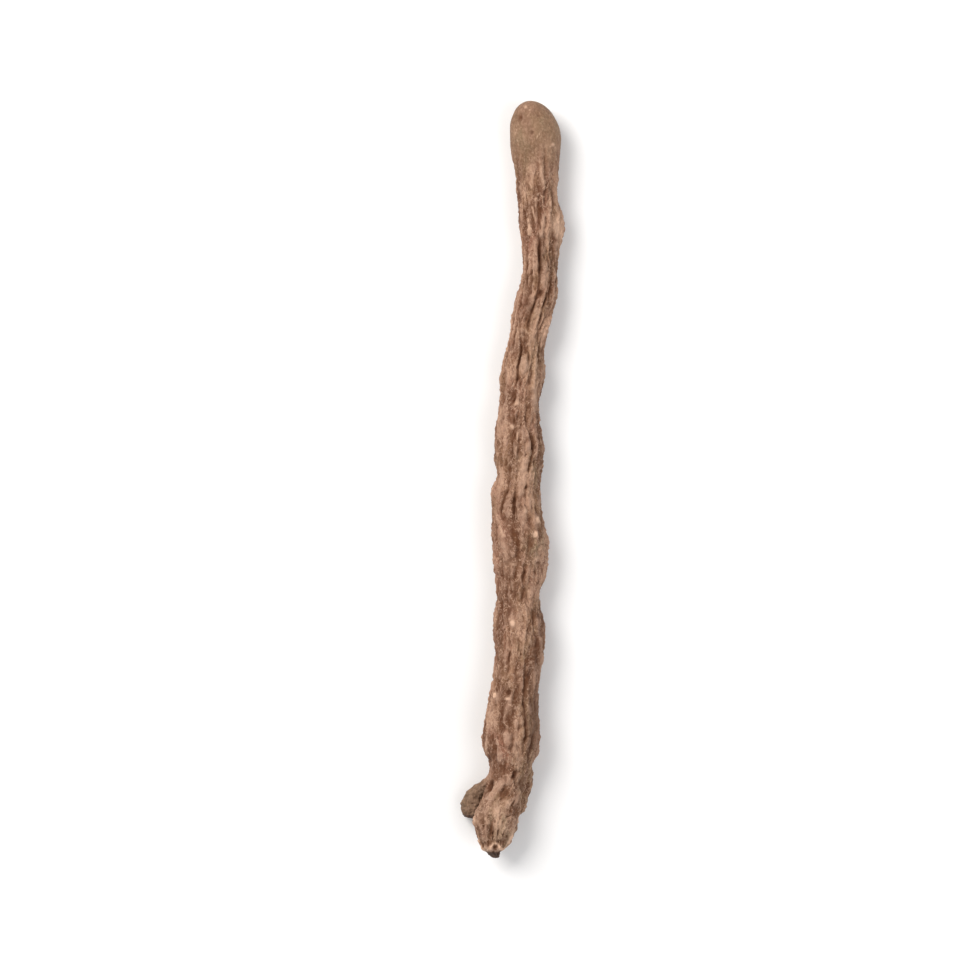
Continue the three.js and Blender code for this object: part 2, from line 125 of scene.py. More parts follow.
# Small marks on top, in the same terms, and how pale each is (dark below zero); the dark tone in their pits
# is painted shade, the pale spots on the nubs are partly painted highlight for their sheen, and the long
# pale marks on the left edge near at 98 to 103 are a painted highlight
FINE_MARKS = [
    [42.2, 1.8, 1.0, 0.4, 0.1, 0.6], [42.4, 1.75, 0.45, 0.16, -0.3, -1.2],
    [30.5, 4.7, 0.45, 0.35, -0.3, -1.6], [46.2, 3.2, 0.4, 0.3, -0.25, -1.4],
    [48.2, 0.7, 0.8, 0.55, 0.12, 0.8], [46.2, 3.2, 0.8, 0.55, 0.05, 0.5],
    [51.7, 0.0, 0.45, 0.35, 0.15, 1.0], [54.4, 3.5, 0.6, 0.28, -0.12, -0.6],
    # Pale nubs: their own pale tone, partly painted highlight for their sheen
    [66.4, 4.05, 0.5, 0.32, 0.15, 2.2], [68.7, 3.7, 0.45, 0.32, 0.15, 1.8],
    # A pale nub, partly painted highlight for its sheen, and a pale patch
    [82.7, 0.2, 0.48, 0.34, 0.12, 1.5], [80.0, 0.4, 1.6, 1.1, 0.05, 0.35],
    [93.6, -0.5, 0.45, 0.35, -0.35, -1.9], [94.6, -0.6, 0.25, 0.55, 0.15, 1.1],
    # A pale nub, partly painted highlight for its sheen, and a pit with painted shade
    [94.1, -2.7, 0.38, 0.28, 0.18, 2.0], [108.6, -3.5, 0.6, 0.4, -0.6, -1.4],
    [118.1, -2.7, 0.35, 0.4, -0.3, -0.8], [2.8, 1.3, 0.4, 0.4, -0.2, -0.6],
    [2.5, 4.3, 0.35, 0.35, -0.2, -0.6], [5.2, 3.2, 0.35, 0.3, -0.15, -1.1],
    [1.1, 2.2, 0.35, 0.3, 0.08, 0.8], [7.1, 6.5, 0.4, 0.4, 0.1, 0.8],
    [48.7, 0.8, 0.4, 0.28, -0.3, -1.8], [115.9, -3.5, 0.5, 0.25, -0.2, -0.5],
    [98.7, 0.5, 0.8, 0.35, 0.12, 0.9], [77.8, 2.8, 0.35, 0.3, 0.1, 0.6],
    [90.9, 2.8, 0.4, 0.3, -0.25, -0.8], [65.1, 2.2, 0.45, 0.35, 0.12, 0.9],
    [61.3, 2.35, 0.45, 0.3, -0.25, -0.9],
    [106.8, 0.45, 0.9, 0.3, -0.35, -1.2], [117.3, -1.3, 0.5, 0.5, -0.25, -0.5],
    [116.8, -4.6, 0.6, 0.5, 0.2, 0.5], [118.2, -4.3, 0.35, 0.45, 0.22, 0.7],
    [118.3, -2.0, 0.35, 0.45, 0.2, 0.7], [118.4, -3.2, 0.3, 0.4, 0.2, 0.6],
    [114.0, -5.6, 0.6, 0.5, 0.15, 0.7], [111.2, -0.6, 0.8, 0.5, 0.12, 0.5],
    # Painted highlight: pale marks along the lit left edge
    [98.5, -3.9, 2.2, 0.3, 0.05, 0.6], [102.5, -4.2, 1.6, 0.3, 0.05, 0.6],
]

# Darker and paler stretches of skin on top: at, position across, half length, half width, tone; the dark
# stretches on the right flank near at 94 and 100 are painted shadow
SHADES = [
    # The first entry below is painted shadow along the right flank
    [94, 4.3, 12, 1.5, -0.65], [70, 5.0, 5, 1.2, -0.3], [24.5, 4.4, 3.8, 1.1, -1.0],
    [32, 2.6, 4, 1.2, -0.75], [42, 1.0, 4, 1.2, -0.3], [108, -1.0, 2.2, 2.2, -0.1],
    [109, 2.6, 3.5, 1.0, -0.5], [80.5, 3.4, 3, 1.3, -0.5], [115.3, -1.6, 2.4, 2.2, 0.42],
    [20, 2.8, 5, 1.2, 0.3], [46, 4.0, 6, 0.9, 0.6], [21, 7.2, 3.5, 1.2, 0.5],
    [13, 1.4, 3, 1.0, -0.4], [13, 4.3, 3.5, 1.2, 0.3], [51, -1.8, 4, 1.0, -0.35],
    # The entry at 100 on the right flank is painted shadow
    [51, 1.2, 4, 1.0, 0.4], [100, 3.2, 5, 1.3, -0.65], [100.5, 0, 4, 1.2, -0.55],
    [112, -2.4, 3.5, 1.2, 0.4], [20, 7.7, 2.2, 1.0, 0.7], [58.5, 1.4, 3.0, 1.0, 0.45],
    [73.5, -0.6, 3.0, 1.6, 0.4], [70, -1.9, 4.0, 1.2, 0.3],
]

# Creases and rims on top: height, tone, half width, and their points as at, position across; the dark tone
# along the creases and pits is painted shade in them
STROKES = [
    # Behind the dome
    [-0.10, -0.5, 0.25, [[7.9, 3.0], [9.5, 2.7]]],
    [-0.12, -0.6, 0.2, [[7.9, 4.3], [9.9, 4.3], [11.4, 4.0]]],
    [-0.08, -0.4, 0.2, [[7.9, 5.2], [9.2, 5.2]]],
    [-0.08, -0.4, 0.2, [[8.2, 6.0], [11.1, 6.0]]],
    [-0.10, -0.5, 0.2, [[13.4, 5.6], [15.8, 6.0]]],
    [-0.18, -0.7, 0.2, [[18.7, 5.7], [19.9, 5.5], [21.0, 5.2]]],
    [-0.12, -0.5, 0.2, [[19.8, 3.6], [21.8, 3.5]]],
    [-0.10, -0.4, 0.2, [[19.3, 4.4], [20.6, 4.6]]],
    [0.10, 0.5, 0.25, [[19.0, 2.6], [21.0, 3.0], [23.2, 3.6]]],
    [0.08, 0.6, 0.2, [[12.8, 1.1], [15.0, 1.45], [17.4, 1.3], [19.8, 1.2]]],
    [0.08, 0.5, 0.25, [[11.6, 3.2], [13.5, 3.2]]],
    [0.08, 0.5, 0.3, [[10.6, 4.5], [12.5, 4.9], [14.0, 5.2]]],
    [0.10, 0.7, 0.2, [[15.6, 3.7], [16.8, 3.75]]],
    [0.12, 0.9, 0.18, [[17.1, 3.2], [18.4, 3.5]]],
    [0.12, 1.0, 0.18, [[14.1, 5.85], [15.5, 6.0], [16.7, 6.1]]],
    [0.08, 0.6, 0.2, [[20.0, 2.6], [21.3, 2.7]]],
    [0.08, 0.6, 0.2, [[21.0, 4.9], [21.9, 4.3]]],
    [-0.10, -0.5, 0.2, [[10.5, 3.8], [11.2, 3.7]]],
    [-0.08, -0.4, 0.16, [[12.4, 4.0], [14.6, 4.1]]],
    [-0.08, -0.4, 0.16, [[13.0, 2.2], [15.2, 2.3]]],
    [-0.10, -0.5, 0.2, [[15.8, 2.6], [17.2, 2.5]]],
    [-0.15, -0.6, 0.2, [[15.8, 5.2], [17.0, 4.9], [18.2, 5.0]]],
    [-0.15, -0.8, 0.2, [[14.8, 6.5], [15.9, 6.7], [16.9, 6.95]]],
    [-0.08, -0.45, 0.16, [[17.4, 4.0], [18.9, 3.9]]],
    [-0.15, -0.7, 0.2, [[19.0, 4.4], [20.3, 4.5]]],
    [-0.12, -0.6, 0.18, [[20.2, 3.4], [21.2, 3.5]]],
    [-0.20, -0.8, 0.28, [[21.6, 4.2], [22.8, 4.5]]],
    [-0.20, -0.8, 0.28, [[21.6, 5.2], [22.9, 5.1]]],
    [-0.12, -0.7, 0.2, [[21.7, 2.6], [22.0, 2.7]]],
    [-0.10, -0.5, 0.45, [[21.0, 6.8], [22.2, 6.9]]],
    # The first long cleft and its neighbours
    [-0.20, -0.95, 0.2, [[23.4, 4.3], [25.6, 4.45], [27.7, 4.35], [30.0, 4.3], [31.3, 3.95]]],
    [-0.12, -0.6, 0.18, [[27.7, 2.2], [30.0, 2.05]]],
    [-0.12, -0.6, 0.16, [[26.9, 3.0], [28.5, 3.05], [30.5, 3.0]]],
    [0.08, 0.5, 0.18, [[26.1, 3.4], [28.5, 3.5], [30.8, 3.4]]],
    [-0.15, -0.7, 0.2, [[24.0, 2.05], [24.3, 2.0]]],
    [-0.10, -0.5, 0.16, [[25.9, 1.5], [25.6, 2.4], [25.2, 3.0]]],
    [0.08, 0.5, 0.2, [[24.2, 2.9], [25.4, 2.4]]],
    [-0.08, -0.5, 0.3, [[26.8, 1.9], [28.0, 2.1]]],
    [0.10, 0.6, 0.18, [[26.0, 1.35], [27.8, 1.6]]],
    [-0.12, -0.6, 0.16, [[32.1, 1.4], [33.2, 0.95]]],
    [-0.12, -0.6, 0.16, [[32.4, 1.9], [33.5, 1.5]]],
    [-0.15, -0.8, 0.2, [[34.6, 1.1], [35.1, 1.3]]],
    [0.10, 0.6, 0.2, [[30.4, 1.1], [31.5, 1.0]]],
    [0.10, 0.6, 0.2, [[33.5, 4.3], [34.6, 4.2]]],
    [-0.10, -0.7, 0.25, [[32.9, 5.7], [33.5, 5.75]]],
    [0.10, 0.45, 0.25, [[23.6, 3.9], [26, 4.0], [28.4, 3.7], [31.0, 3.2]]],
    [-0.12, -0.5, 0.2, [[24.0, 2.4], [24.7, 2.2]]],
    [-0.12, -0.5, 0.2, [[28.1, 2.2], [30.0, 2.4]]],
    [0.08, 0.5, 0.25, [[25.6, 1.6], [28.0, 1.7]]],
    [-0.10, -0.4, 0.2, [[29.2, 6.0], [31.6, 6.0]]],
    [-0.20, -0.9, 0.18, [[31.3, 3.95], [32.6, 3.5], [33.5, 3.15], [34.8, 2.7], [35.9, 2.35]]],
    [-0.14, -0.6, 0.18, [[28.8, 6.5], [30.0, 6.0], [31.6, 5.5]]],
    [-0.20, -0.9, 0.2, [[31.6, 5.5], [32.6, 5.2], [33.5, 4.9], [34.8, 4.6], [35.9, 4.1]]],
    [-0.20, -0.7, 0.2, [[37.2, 4.4], [38.3, 4.1], [39.2, 3.8], [39.8, 3.5]]],
    [0.12, 0.5, 0.3, [[34.8, 6.0], [35.9, 5.7], [36.8, 5.2], [38.7, 4.6]]],
    [-0.15, -0.65, 0.16, [[34.5, 1.3], [36.4, 1.1], [37.9, 1.3], [39.5, 1.4], [40.6, 1.3]]],
    [-0.2, -0.8, 0.18, [[40.4, 1.4], [41.2, 1.2], [41.9, 0.95], [43.5, 0.95], [44.6, 0.8]]],
    # Round the first knot
    [0.12, 0.7, 0.18, [[41.0, 1.5], [41.4, 2.2], [42.6, 2.4], [43.4, 2.2]]],
    [-0.15, -0.6, 0.18, [[42.7, 2.4], [43.6, 2.1], [44.7, 1.4], [46.2, 0.9]]],
    [-0.15, -0.6, 0.18, [[46.2, 0.5], [47.4, -0.2]]],
    [-0.15, -0.5, 0.2, [[46.6, -0.8], [49.0, -1.4], [51.4, -1.6]]],
    [-0.12, -0.5, 0.2, [[49.3, 4.0], [50.6, 3.8]]],
    [-0.20, -0.8, 0.2, [[55.7, 0.05], [56.5, -0.05]]],
    [-0.20, -0.9, 0.2, [[56.1, -1.8], [56.7, -1.7]]],
    [-0.12, -0.6, 0.16, [[47.1, -0.15], [48.1, -0.8]]],
    [-0.12, -0.6, 0.16, [[49.3, -0.95], [50.9, -1.4]]],
    [-0.14, -0.6, 0.18, [[49.6, 0.95], [50.6, 0.6]]],
    [-0.08, -0.5, 0.16, [[51.4, 3.0], [52.6, 3.1], [53.8, 3.1]]],
    [-0.20, -1.0, 0.25, [[54.2, 3.5], [55.2, 3.55]]],
    [-0.14, -0.6, 0.16, [[52.5, 0.5], [54.5, 0.15], [55.6, 0.0]]],
    [-0.14, -0.6, 0.16, [[53.1, 1.3], [54.2, 1.1], [55.3, 1.4]]],
    [-0.12, -0.6, 0.2, [[53.3, 2.1], [53.8, 2.6]]],
    [-0.12, -0.6, 0.2, [[54.3, -1.9], [54.8, -1.8]]],
    [0.10, 0.6, 0.2, [[52.6, 0.9], [53.8, 0.75]]],
    [0.10, 0.5, 0.25, [[50.8, 2.5], [53.0, 2.6]]],
    [-0.18, -0.6, 0.18, [[51.4, 1.5], [52.4, 2.0], [53.0, 2.3]]],
    [-0.15, -0.5, 0.18, [[53.6, 2.5], [54.4, 1.9]]],
    [-0.12, -0.5, 0.16, [[50.2, 2.2], [51.0, 2.6]]],
    # Painted highlight: a pale rim along the lit left edge
    [0.08, 0.7, 0.2, [[51.6, -2.5], [53.5, -2.6], [55.4, -2.6]]],
    # The waist and the two furrows that part below it
    [-0.25, -0.8, 0.2, [[57.7, -0.3], [60.1, -0.5], [61.7, -0.6], [63.1, -1.3], [65.0, -1.9]]],
    [-0.32, -1.1, 0.2, [[60.9, 0.6], [63.2, 0.4], [65.6, 0.3], [66.7, 0.2]]],
    [-0.20, -0.8, 0.24, [[63.0, 0.47], [65.2, 0.38]]],
    [-0.10, -0.5, 0.16, [[66.9, -1.7], [68.3, -1.1]]],
    [-0.25, -0.9, 0.2, [[67.5, -0.3], [68.5, 0.0], [69.6, 0.3]]],
    [-0.20, -0.7, 0.2, [[69.9, 0.8], [70.8, 1.1], [72.1, 0.8]]],
    [-0.25, -0.8, 0.2, [[73.7, 1.9], [74.9, 2.1], [75.9, 1.6], [76.8, 0.95]]],
    [-0.18, -0.6, 0.2, [[75.9, 2.2], [77.5, 2.1], [78.7, 1.6], [79.8, 1.4]]],
    [0.14, 0.6, 0.25, [[65.0, -2.8], [66.7, -2.2], [68.0, -1.7], [68.9, -1.2]]],
    [0.08, 0.5, 0.2, [[73.3, -0.4], [73.5, 0.6]]],
    [-0.12, -0.6, 0.18, [[74.6, -1.6], [75.6, -1.6]]],
    [-0.12, -0.6, 0.18, [[74.3, 3.6], [75.3, 3.1]]],
    [-0.15, -0.6, 0.2, [[77.6, -1.4], [78.1, -1.4]]],
    [-0.15, -0.6, 0.18, [[77.8, 0.0], [78.7, -0.3]]],
    [-0.12, -0.5, 0.18, [[78.3, -0.95], [79.8, -0.8], [80.9, -1.1]]],
    [-0.12, -0.6, 0.18, [[79.1, -1.6], [80.3, -1.75], [81.9, -1.45]]],
    [-0.12, -0.5, 0.2, [[82.2, -0.95], [84.1, -1.1]]],
    [-0.14, -0.6, 0.18, [[84.1, -1.6], [85.4, -1.45]]],
    [-0.10, -0.5, 0.18, [[83.0, 2.7], [85.4, 2.5], [87.0, 2.05], [88.5, 1.9]]],
    [-0.12, -0.6, 0.18, [[84.2, 3.4], [85.4, 3.6]]],
    [-0.10, -0.5, 0.16, [[84.6, 4.1], [86.5, 4.1]]],
    [-0.14, -0.6, 0.2, [[88.2, 2.5], [89.8, 2.8]]],
    [-0.12, -0.6, 0.2, [[88.0, 4.0], [89.2, 4.0]]],
    # Below the second knot
    [-0.15, -0.6, 0.18, [[85.4, -0.6], [87.0, -0.6], [88.5, -0.5]]],
    [-0.12, -0.5, 0.2, [[82.6, -2.2], [84.6, -1.8]]],
    [-0.2, -0.8, 0.16, [[89.8, 1.9], [91.7, 2.1], [93.3, 2.1], [94.9, 2.4]]],
    [-0.18, -0.75, 0.16, [[94.9, 1.9], [96.8, 2.2], [98.3, 2.4], [100.9, 2.2]]],
    [0.10, 0.4, 0.25, [[91.0, 1.4], [93.0, 1.5], [95.0, 1.2]]],
    [-0.2, -0.7, 0.16, [[90.2, 2.8], [92.0, 3.0], [94.1, 3.0], [95.8, 3.2]]],
    [-0.15, -0.6, 0.16, [[92.8, 3.8], [94.6, 3.7], [96.4, 3.9]]],
    [-0.15, -0.6, 0.16, [[97.4, 1.1], [98.8, 1.2], [100.2, 1.0]]],
    [-0.15, -0.6, 0.25, [[99.1, -2.8], [100.1, -2.7], [100.7, -2.4]]],
    [-0.10, -0.4, 0.2, [[98.3, -2.5], [97.7, -1.6]]],
    [-0.12, -0.5, 0.25, [[95.7, -2.1], [96.9, -1.7]]],
    [-0.10, -0.5, 0.16, [[94.9, -1.5], [97.2, -1.45], [98.2, -1.9]]],
    [-0.12, -0.5, 0.25, [[101.2, 1.6], [102.8, 1.75]]],
    [-0.18, -0.8, 0.3, [[102.2, -1.1], [102.4, -0.4], [101.9, 0.1]]],
    [0.10, 0.5, 0.25, [[99.9, 1.1], [100.5, 1.1]]],
    [0.10, 0.5, 0.25, [[101.2, 0.7], [101.8, 0.8]]],
    [0.08, 0.4, 0.25, [[101.1, -1.1], [101.5, -1.0]]],
    [-0.28, -1.0, 0.2, [[101.7, 3.2], [103.6, 2.8], [104.8, 2.7]]],
    [0.08, 0.4, 0.2, [[103.0, 3.5], [104.8, 3.2]]],
    [0.10, 0.6, 0.18, [[104.2, 1.2], [105.2, 1.3]]],
    [-0.15, -0.5, 0.2, [[102.0, -3.6], [104.3, -3.2]]],
    # The torn waist before the tip
    [-0.18, -0.7, 0.16, [[107.2, -2.4], [108.2, -2.0], [108.8, -2.3]]],
    [-0.15, -0.6, 0.16, [[108.9, -2.7], [109.9, -3.0], [110.6, -2.6]]],
    [-0.15, -0.6, 0.16, [[111.2, -4.2], [112.0, -4.6], [112.9, -4.4]]],
    [-0.15, -0.6, 0.16, [[111.9, -1.9], [112.8, -1.6], [113.6, -1.9]]],
    [0.10, 0.5, 0.18, [[110.7, -3.8], [111.7, -3.5], [112.6, -3.9]]],
    [-0.40, -1.4, 0.28, [[106.1, 0.9], [107.0, 0.25]]],
    [-0.20, -0.8, 0.3, [[107.6, 1.5], [109.1, 1.8]]],
    [-0.45, -1.5, 0.3, [[107.8, -3.4], [108.8, -3.8]]],
    [-0.20, -0.8, 0.25, [[109.4, -4.1], [110.1, -4.5]]],
    [-0.22, -0.8, 0.2, [[104.5, -1.3], [106.6, -1.2], [107.5, -0.95], [108.3, -1.1]]],
    [-0.30, -1.0, 0.22, [[108.3, -1.1], [109.1, -1.5], [110.0, -2.0], [111.0, -3.1], [112.4, -3.3]]],
    [-0.18, -0.7, 0.2, [[112.4, -3.3], [113.7, -3.0], [114.6, -3.3]]],
    [-0.15, -0.7, 0.16, [[114.6, -3.3], [115.8, -3.4]]],
    [-0.20, -0.7, 0.18, [[115.8, -3.4], [117.0, -3.6], [118.2, -3.7]]],
    [-0.15, -0.5, 0.2, [[104.6, 1.7], [107.2, 0.95], [108.8, -0.3], [109.9, -0.95]]],
    [0.10, 0.7, 0.25, [[106.2, 2.8], [107.5, 3.0], [108.4, 2.8]]],
    [0.14, 0.7, 0.18, [[109.6, 1.25], [110.5, 1.5], [111.8, 1.25], [113.0, 1.3], [114.4, 0.95]]],
    [-0.20, -0.8, 0.22, [[109.4, 1.8], [111.0, 1.9], [112.8, 1.6]]],
    [0.10, 0.3, 0.2, [[110.6, -1.5], [110.8, -0.8], [111.4, -0.3], [112.2, -0.4]]],
    # The pale rim and the pits at the torn end
    [0.08, 0.6, 0.22, [[113.0, -6.0], [114.3, -6.1], [115.9, -5.8], [117.2, -5.4]]],
    [0.08, 0.6, 0.22, [[113.7, 1.0], [114.9, 0.5], [116.2, -0.1], [117.3, -0.5]]],
    [0.16, 1.2, 0.2, [[117.2, -5.5], [117.9, -5.2], [118.7, -4.5], [118.8, -3.8], [118.1, -3.3]]],
    [0.16, 1.2, 0.2, [[118.1, -3.3], [117.5, -2.9], [117.6, -2.2], [118.4, -1.9], [118.6, -1.3]]],
    [0.10, 0.9, 0.2, [[118.6, -1.3], [117.6, -0.6], [116.4, 0.0]]],
    [-0.22, -0.7, 0.3, [[117.9, -4.75], [118.0, -4.7]]],
    [-0.30, -1.2, 0.26, [[118.2, -2.65], [118.35, -2.6]]],
    [-0.18, -0.6, 0.25, [[117.7, -1.3], [117.9, -1.3]]],
    [-0.12, -0.5, 0.25, [[116.0, -1.5], [116.2, -1.1]]],
    [0.08, 0.7, 0.25, [[113.4, -4.1], [114.2, -3.9]]],
]

# Tinted zones on top: at, position across, half length, half width, tint (reddish above zero)
ZONES = [
    [22, 3.0, 7, 2.2, 0.7], [33, 1.0, 5, 1.6, 0.5], [47, 0.5, 6, 2.0, 0.6], [73.5, -2.0, 4, 2.0, 1.0],
    [84, -1.5, 5, 1.8, 0.6], [103.5, -2.0, 3.5, 2.4, 1.1], [95, -2.0, 4, 1.8, 0.6],
    [58, 3.6, 4, 1.6, -0.8], [71, 4.3, 4, 1.6, -1.0], [98, 3.2, 5, 1.6, -1.1], [40, 4.2, 4, 1.2, -0.5],
    [108, 2.0, 4, 2.0, -0.9], [113, -4.5, 2.5, 1.5, -0.7], [115, -2.0, 3.2, 3.2, -1.1],
    [80, 2.9, 1.4, 1.2, -0.6],
]

# Root scars on the sides and underneath: at, degrees round from the right, radius, height
ROOT_SCARS = [
    [13, 205, 0.7, 0.25], [21, 348, 0.8, 0.2], [27, 262, 0.7, 0.3], [34.5, 190, 0.6, 0.3],
    [41, 322, 0.7, 0.3], [49, 236, 0.8, 0.3], [57.5, 352, 0.7, 0.3], [61, 182, 0.6, 0.25],
    [73, 338, 0.8, 0.3], [79, 208, 0.7, 0.35], [86.5, 285, 0.8, 0.3], [92, 357, 0.7, 0.3],
    [96, 196, 0.6, 0.3], [101, 250, 0.8, 0.3], [111, 320, 0.7, 0.25],
]

# Furrows round the girth, and how the unseen ones wander
FURROWS = 13
LEAST_SPACING = 0.27
SPACING_ROUNDS = 6
OUTERMOST = 0.93
WANDER = 0.16
MEANDER = 0.05

# Relief of the skin: depths, heights and half widths
FURROW_DEPTH = 0.2
FURROW_HALF_WIDTH = 0.28
CLEFT_HALF_WIDTH = 0.2
WRINKLE_DEPTH = 0.28
WRINKLE_HALF_WIDTH = 0.22
CREST_HEIGHT = 0.13
RIDGE_ROUNDING = 0.16
FOLD_HEIGHT = 0.19
SWELLING = 0.15
SMALL_SWELLING = 0.12
COARSE_VALLEY = 0.13
FINE_VALLEY = 0.1
LUMP_HEIGHT = 0.12
SMALL_LUMP_HEIGHT = 0.09
KNOB_HEIGHT = 0.3
TIP_CREASE = 0.26
TIP_PIT = 0.34

# Shares of the listed depths and tones that the skin shows
FURROW_SHARE = 0.56
WRINKLE_SHARE = 0.8
STROKE_SHARE = 0.75
TONE_SHARE = 0.9

# Where the skin changes along the length
WRINKLES_FROM = 3.5
WRINKLES_FULL = 15
KNOBBLY_FROM = 106
DOME_TINT = -0.6

# Where the ridges, and the folds, lose strength: from, to, share lost beyond it
CALMER_RIDGES = [[102.5, 107.5, 0.7], [54, 60, 0.25], [109, 112, 0.5], [24, 16, 0.3]]
CALMER_FOLDS = [[54, 60, 0.25], [108, 112, 0.5]]

# Relief that counts as a full hollow, and as a full broad dip, for painted shade and highlight
HOLLOW_DEPTH = 0.2
DIP_DEPTH = 0.17

# Low spots that the body rests on: at, position across, half length, half width, drop
LOW_SPOTS = [[9, 4.5, 3.2, 2.0, 0.32], [68.5, 2.5, 4.4, 2.0, 0.4]]

# Last points of the body: across, along and up
DOME_POINT = [3.0, 60, 3.95]
TIP_POINT = [-2.5, -60, 4.5]

# Broken side stub and small lobe: centre across, along and up, half width, half height
STUB = [
    [-1.0, -46.0, 4.2, 1.6, 1.7], [-2.2, -47.1, 3.7, 1.5, 1.75], [-3.2, -48.1, 3.2, 1.3, 1.75],
    [-4.1, -48.9, 2.65, 1.3, 1.8], [-4.95, -49.7, 2.2, 1.55, 1.9], [-5.5, -50.5, 1.87, 1.85, 2.0],
    [-5.9, -51.4, 1.74, 2.1, 2.02], [-6.1, -52.3, 1.68, 2.0, 1.95], [-6.2, -53.2, 1.68, 1.65, 1.7],
    [-6.3, -53.8, 1.7, 1.25, 1.3],
]
STUB_POINT = [-6.25, -53.45, 1.8]
LOBE = [
    [2.0, -44.6, 4.3, 1.2, 1.5], [2.0, -46.2, 3.8, 1.35, 1.6], [1.9, -47.6, 3.3, 1.45, 1.65],
    [1.65, -49.0, 2.95, 1.45, 1.6], [1.3, -50.3, 2.75, 1.4, 1.5], [1.05, -51.6, 2.65, 1.35, 1.4],
    [0.9, -52.6, 2.6, 1.1, 1.15], [0.85, -53.1, 2.6, 0.7, 0.75],
]
LOBE_POINT = [0.85, -53.35, 2.6]

# Both branches: ridges, usual half width, relief as shares of it, and tint
BRANCH_RIDGES = 9
BRANCH_HALF_WIDTH = 1.6
BRANCH_GROOVE = 0.09
GROOVE_CHANGE = 0.07
BRANCH_SWELLING = 0.06
BRANCH_VALLEY = 0.13
BRANCH_LUMPS = 0.12
BRANCH_GRAIN = 0.05
BRANCH_TINT = -0.5

# What the skin carries at each place for its colours; hollow and dip drive painted shade in hollows and
# dips and painted highlight on crests and rises
LAYERS = ["hollow", "dip", "pale", "tint", "wrinkled", "broken", "stump"]

# Patterns in the skin: stretch along the length, cells per millimetre, detail, roughness, warp
PATTERNS = {
    "patches": [2.2, 0.16, 3.0, 0.55, 0.0],
    "hue": [1.8, 0.28, 3.0, 0.6, 0.0],
    "broad": [2.6, 0.34, 2.0, 0.5, 0.0],
    "mottle": [1.6, 0.6, 4.0, 0.6, 0.0],
    "streaks": [2.6, 1.4, 5.0, 0.7, 0.8],
    "grain": [1.3, 2.6, 4.0, 0.7, 0.0],
    # Pale flecks, partly painted glints
    "flecks_and_glints": [1.5, 1.7, 2.0, 0.5, 0.0],
    "grit": [1.3, 3.0, 2.0, 0.6, 0.0],
    "bumps": [1.3, 1.6, 5.0, 0.68, 0.5],
}

# Thin lines, which follow the middle value of a pattern in the same terms
THIN_LINES = {
    "creases": [2.3, 0.8, 2.0, 0.5, 1.2],
    "cracks": [3.2, 1.15, 2.0, 0.5, 0.9],
    "threads": [1.9, 1.0, 2.0, 0.5, 1.0],
}

# Pairs of colours: the pattern that blends them, from, to, first and second colour
GROUND = ["patches", 0.38, 0.62, [117, 78, 54], [144, 107, 78]]
BARK = ["streaks", 0.35, 0.65, [94, 74, 57], [136, 109, 86]]
# Dark broken ends: the tip's own dark plug, and painted shade on the stub's broken end, which lies in the
# tip's shadow
BROKEN_END_AND_SHADE = ["grain", 0.38, 0.62, [92, 64, 50], [38, 25, 20]]
BARK_SHARE = 0.65
BROKEN_END_AND_SHADE_SHARE = 0.9

# Colours laid over the ground colour in turn: what brings each out, from, to, greatest share, colour
COLOURS = [
    ["hue", 0.5, 0.66, 0.5, [150, 104, 86]],
    ["hue", 0.5, 0.34, 0.5, [126, 104, 76]],
    ["tint", 0.0, 1.2, 0.7, [144, 92, 72]],
    ["tint", 0.0, -1.2, 0.7, [126, 108, 82]],
    ["broad", 0.5, 0.64, 0.75, [183, 144, 119]],
    ["broad", 0.52, 0.37, 0.85, [89, 49, 21]],
    ["mottle", 0.5, 0.72, 0.3, [172, 134, 108]],
    ["mottle", 0.48, 0.28, 0.25, [96, 55, 26]],
    ["streaks", 0.48, 0.68, 0.3, [179, 144, 120]],
    ["grain", 0.47, 0.3, 0.2, [85, 47, 21]],
    ["grit", 0.5, 0.66, 0.2, [192, 156, 131]],
    ["grit", 0.5, 0.34, 0.2, [86, 50, 25]],
    ["creases", 0.025, 0.0, 0.75, [78, 41, 14]],
    ["cracks", 0.036, 0.0, 0.45, [78, 41, 14]],
    ["threads", 0.028, 0.0, 0.65, [196, 160, 135]],
    # Painted highlight on broad rises, and painted shade in broad dips
    ["dip", 0.0, -1.1, 0.4, [180, 143, 120]],
    ["dip", 0.0, 1.2, 0.75, [91, 50, 18]],
    # Painted highlight on the crests
    ["hollow", -0.1, -1.0, 0.28, [186, 151, 129]],
    # Pale flecks, partly painted glints
    ["flecks_and_glints", 0.64, 0.74, 0.45, [202, 166, 140]],
    # Painted shade in the furrows, and darker painted shade in the deepest hollows
    ["furrow", 0.35, 1.5, 0.58, [88, 45, 11]],
    ["hollow", 1.4, 3.0, 0.45, [56, 25, 3]],
    # The pale layer: own tone of marks and stretches, with painted shade in creases and pits, painted
    # highlight on nubs and the left edge, and painted shadow on the right flank
    ["pale", 0.15, 1.1, 0.75, [220, 181, 153]],
    ["pale", -0.1, -1.3, 0.8, [76, 39, 11]],
]
ON_WRINKLES_ONLY = ["broad", "creases", "cracks", "threads"]

# Bumps in the skin, from which pattern: distance in metres, and strength
BUMPS = [["bumps", 0.0003, 0.8], ["grit", 0.00016, 0.8]]
ROUGHNESS_RANGE = [0.62, 0.85]
SKIN_SHINE = 0.4

# Mesh density, and the fewest faces that a loose part may have
COLUMNS_PER_RIDGE = 12
BODY_RINGS = 510
LEAST_FACES = 50
SLIVER_ROUNDS = 3

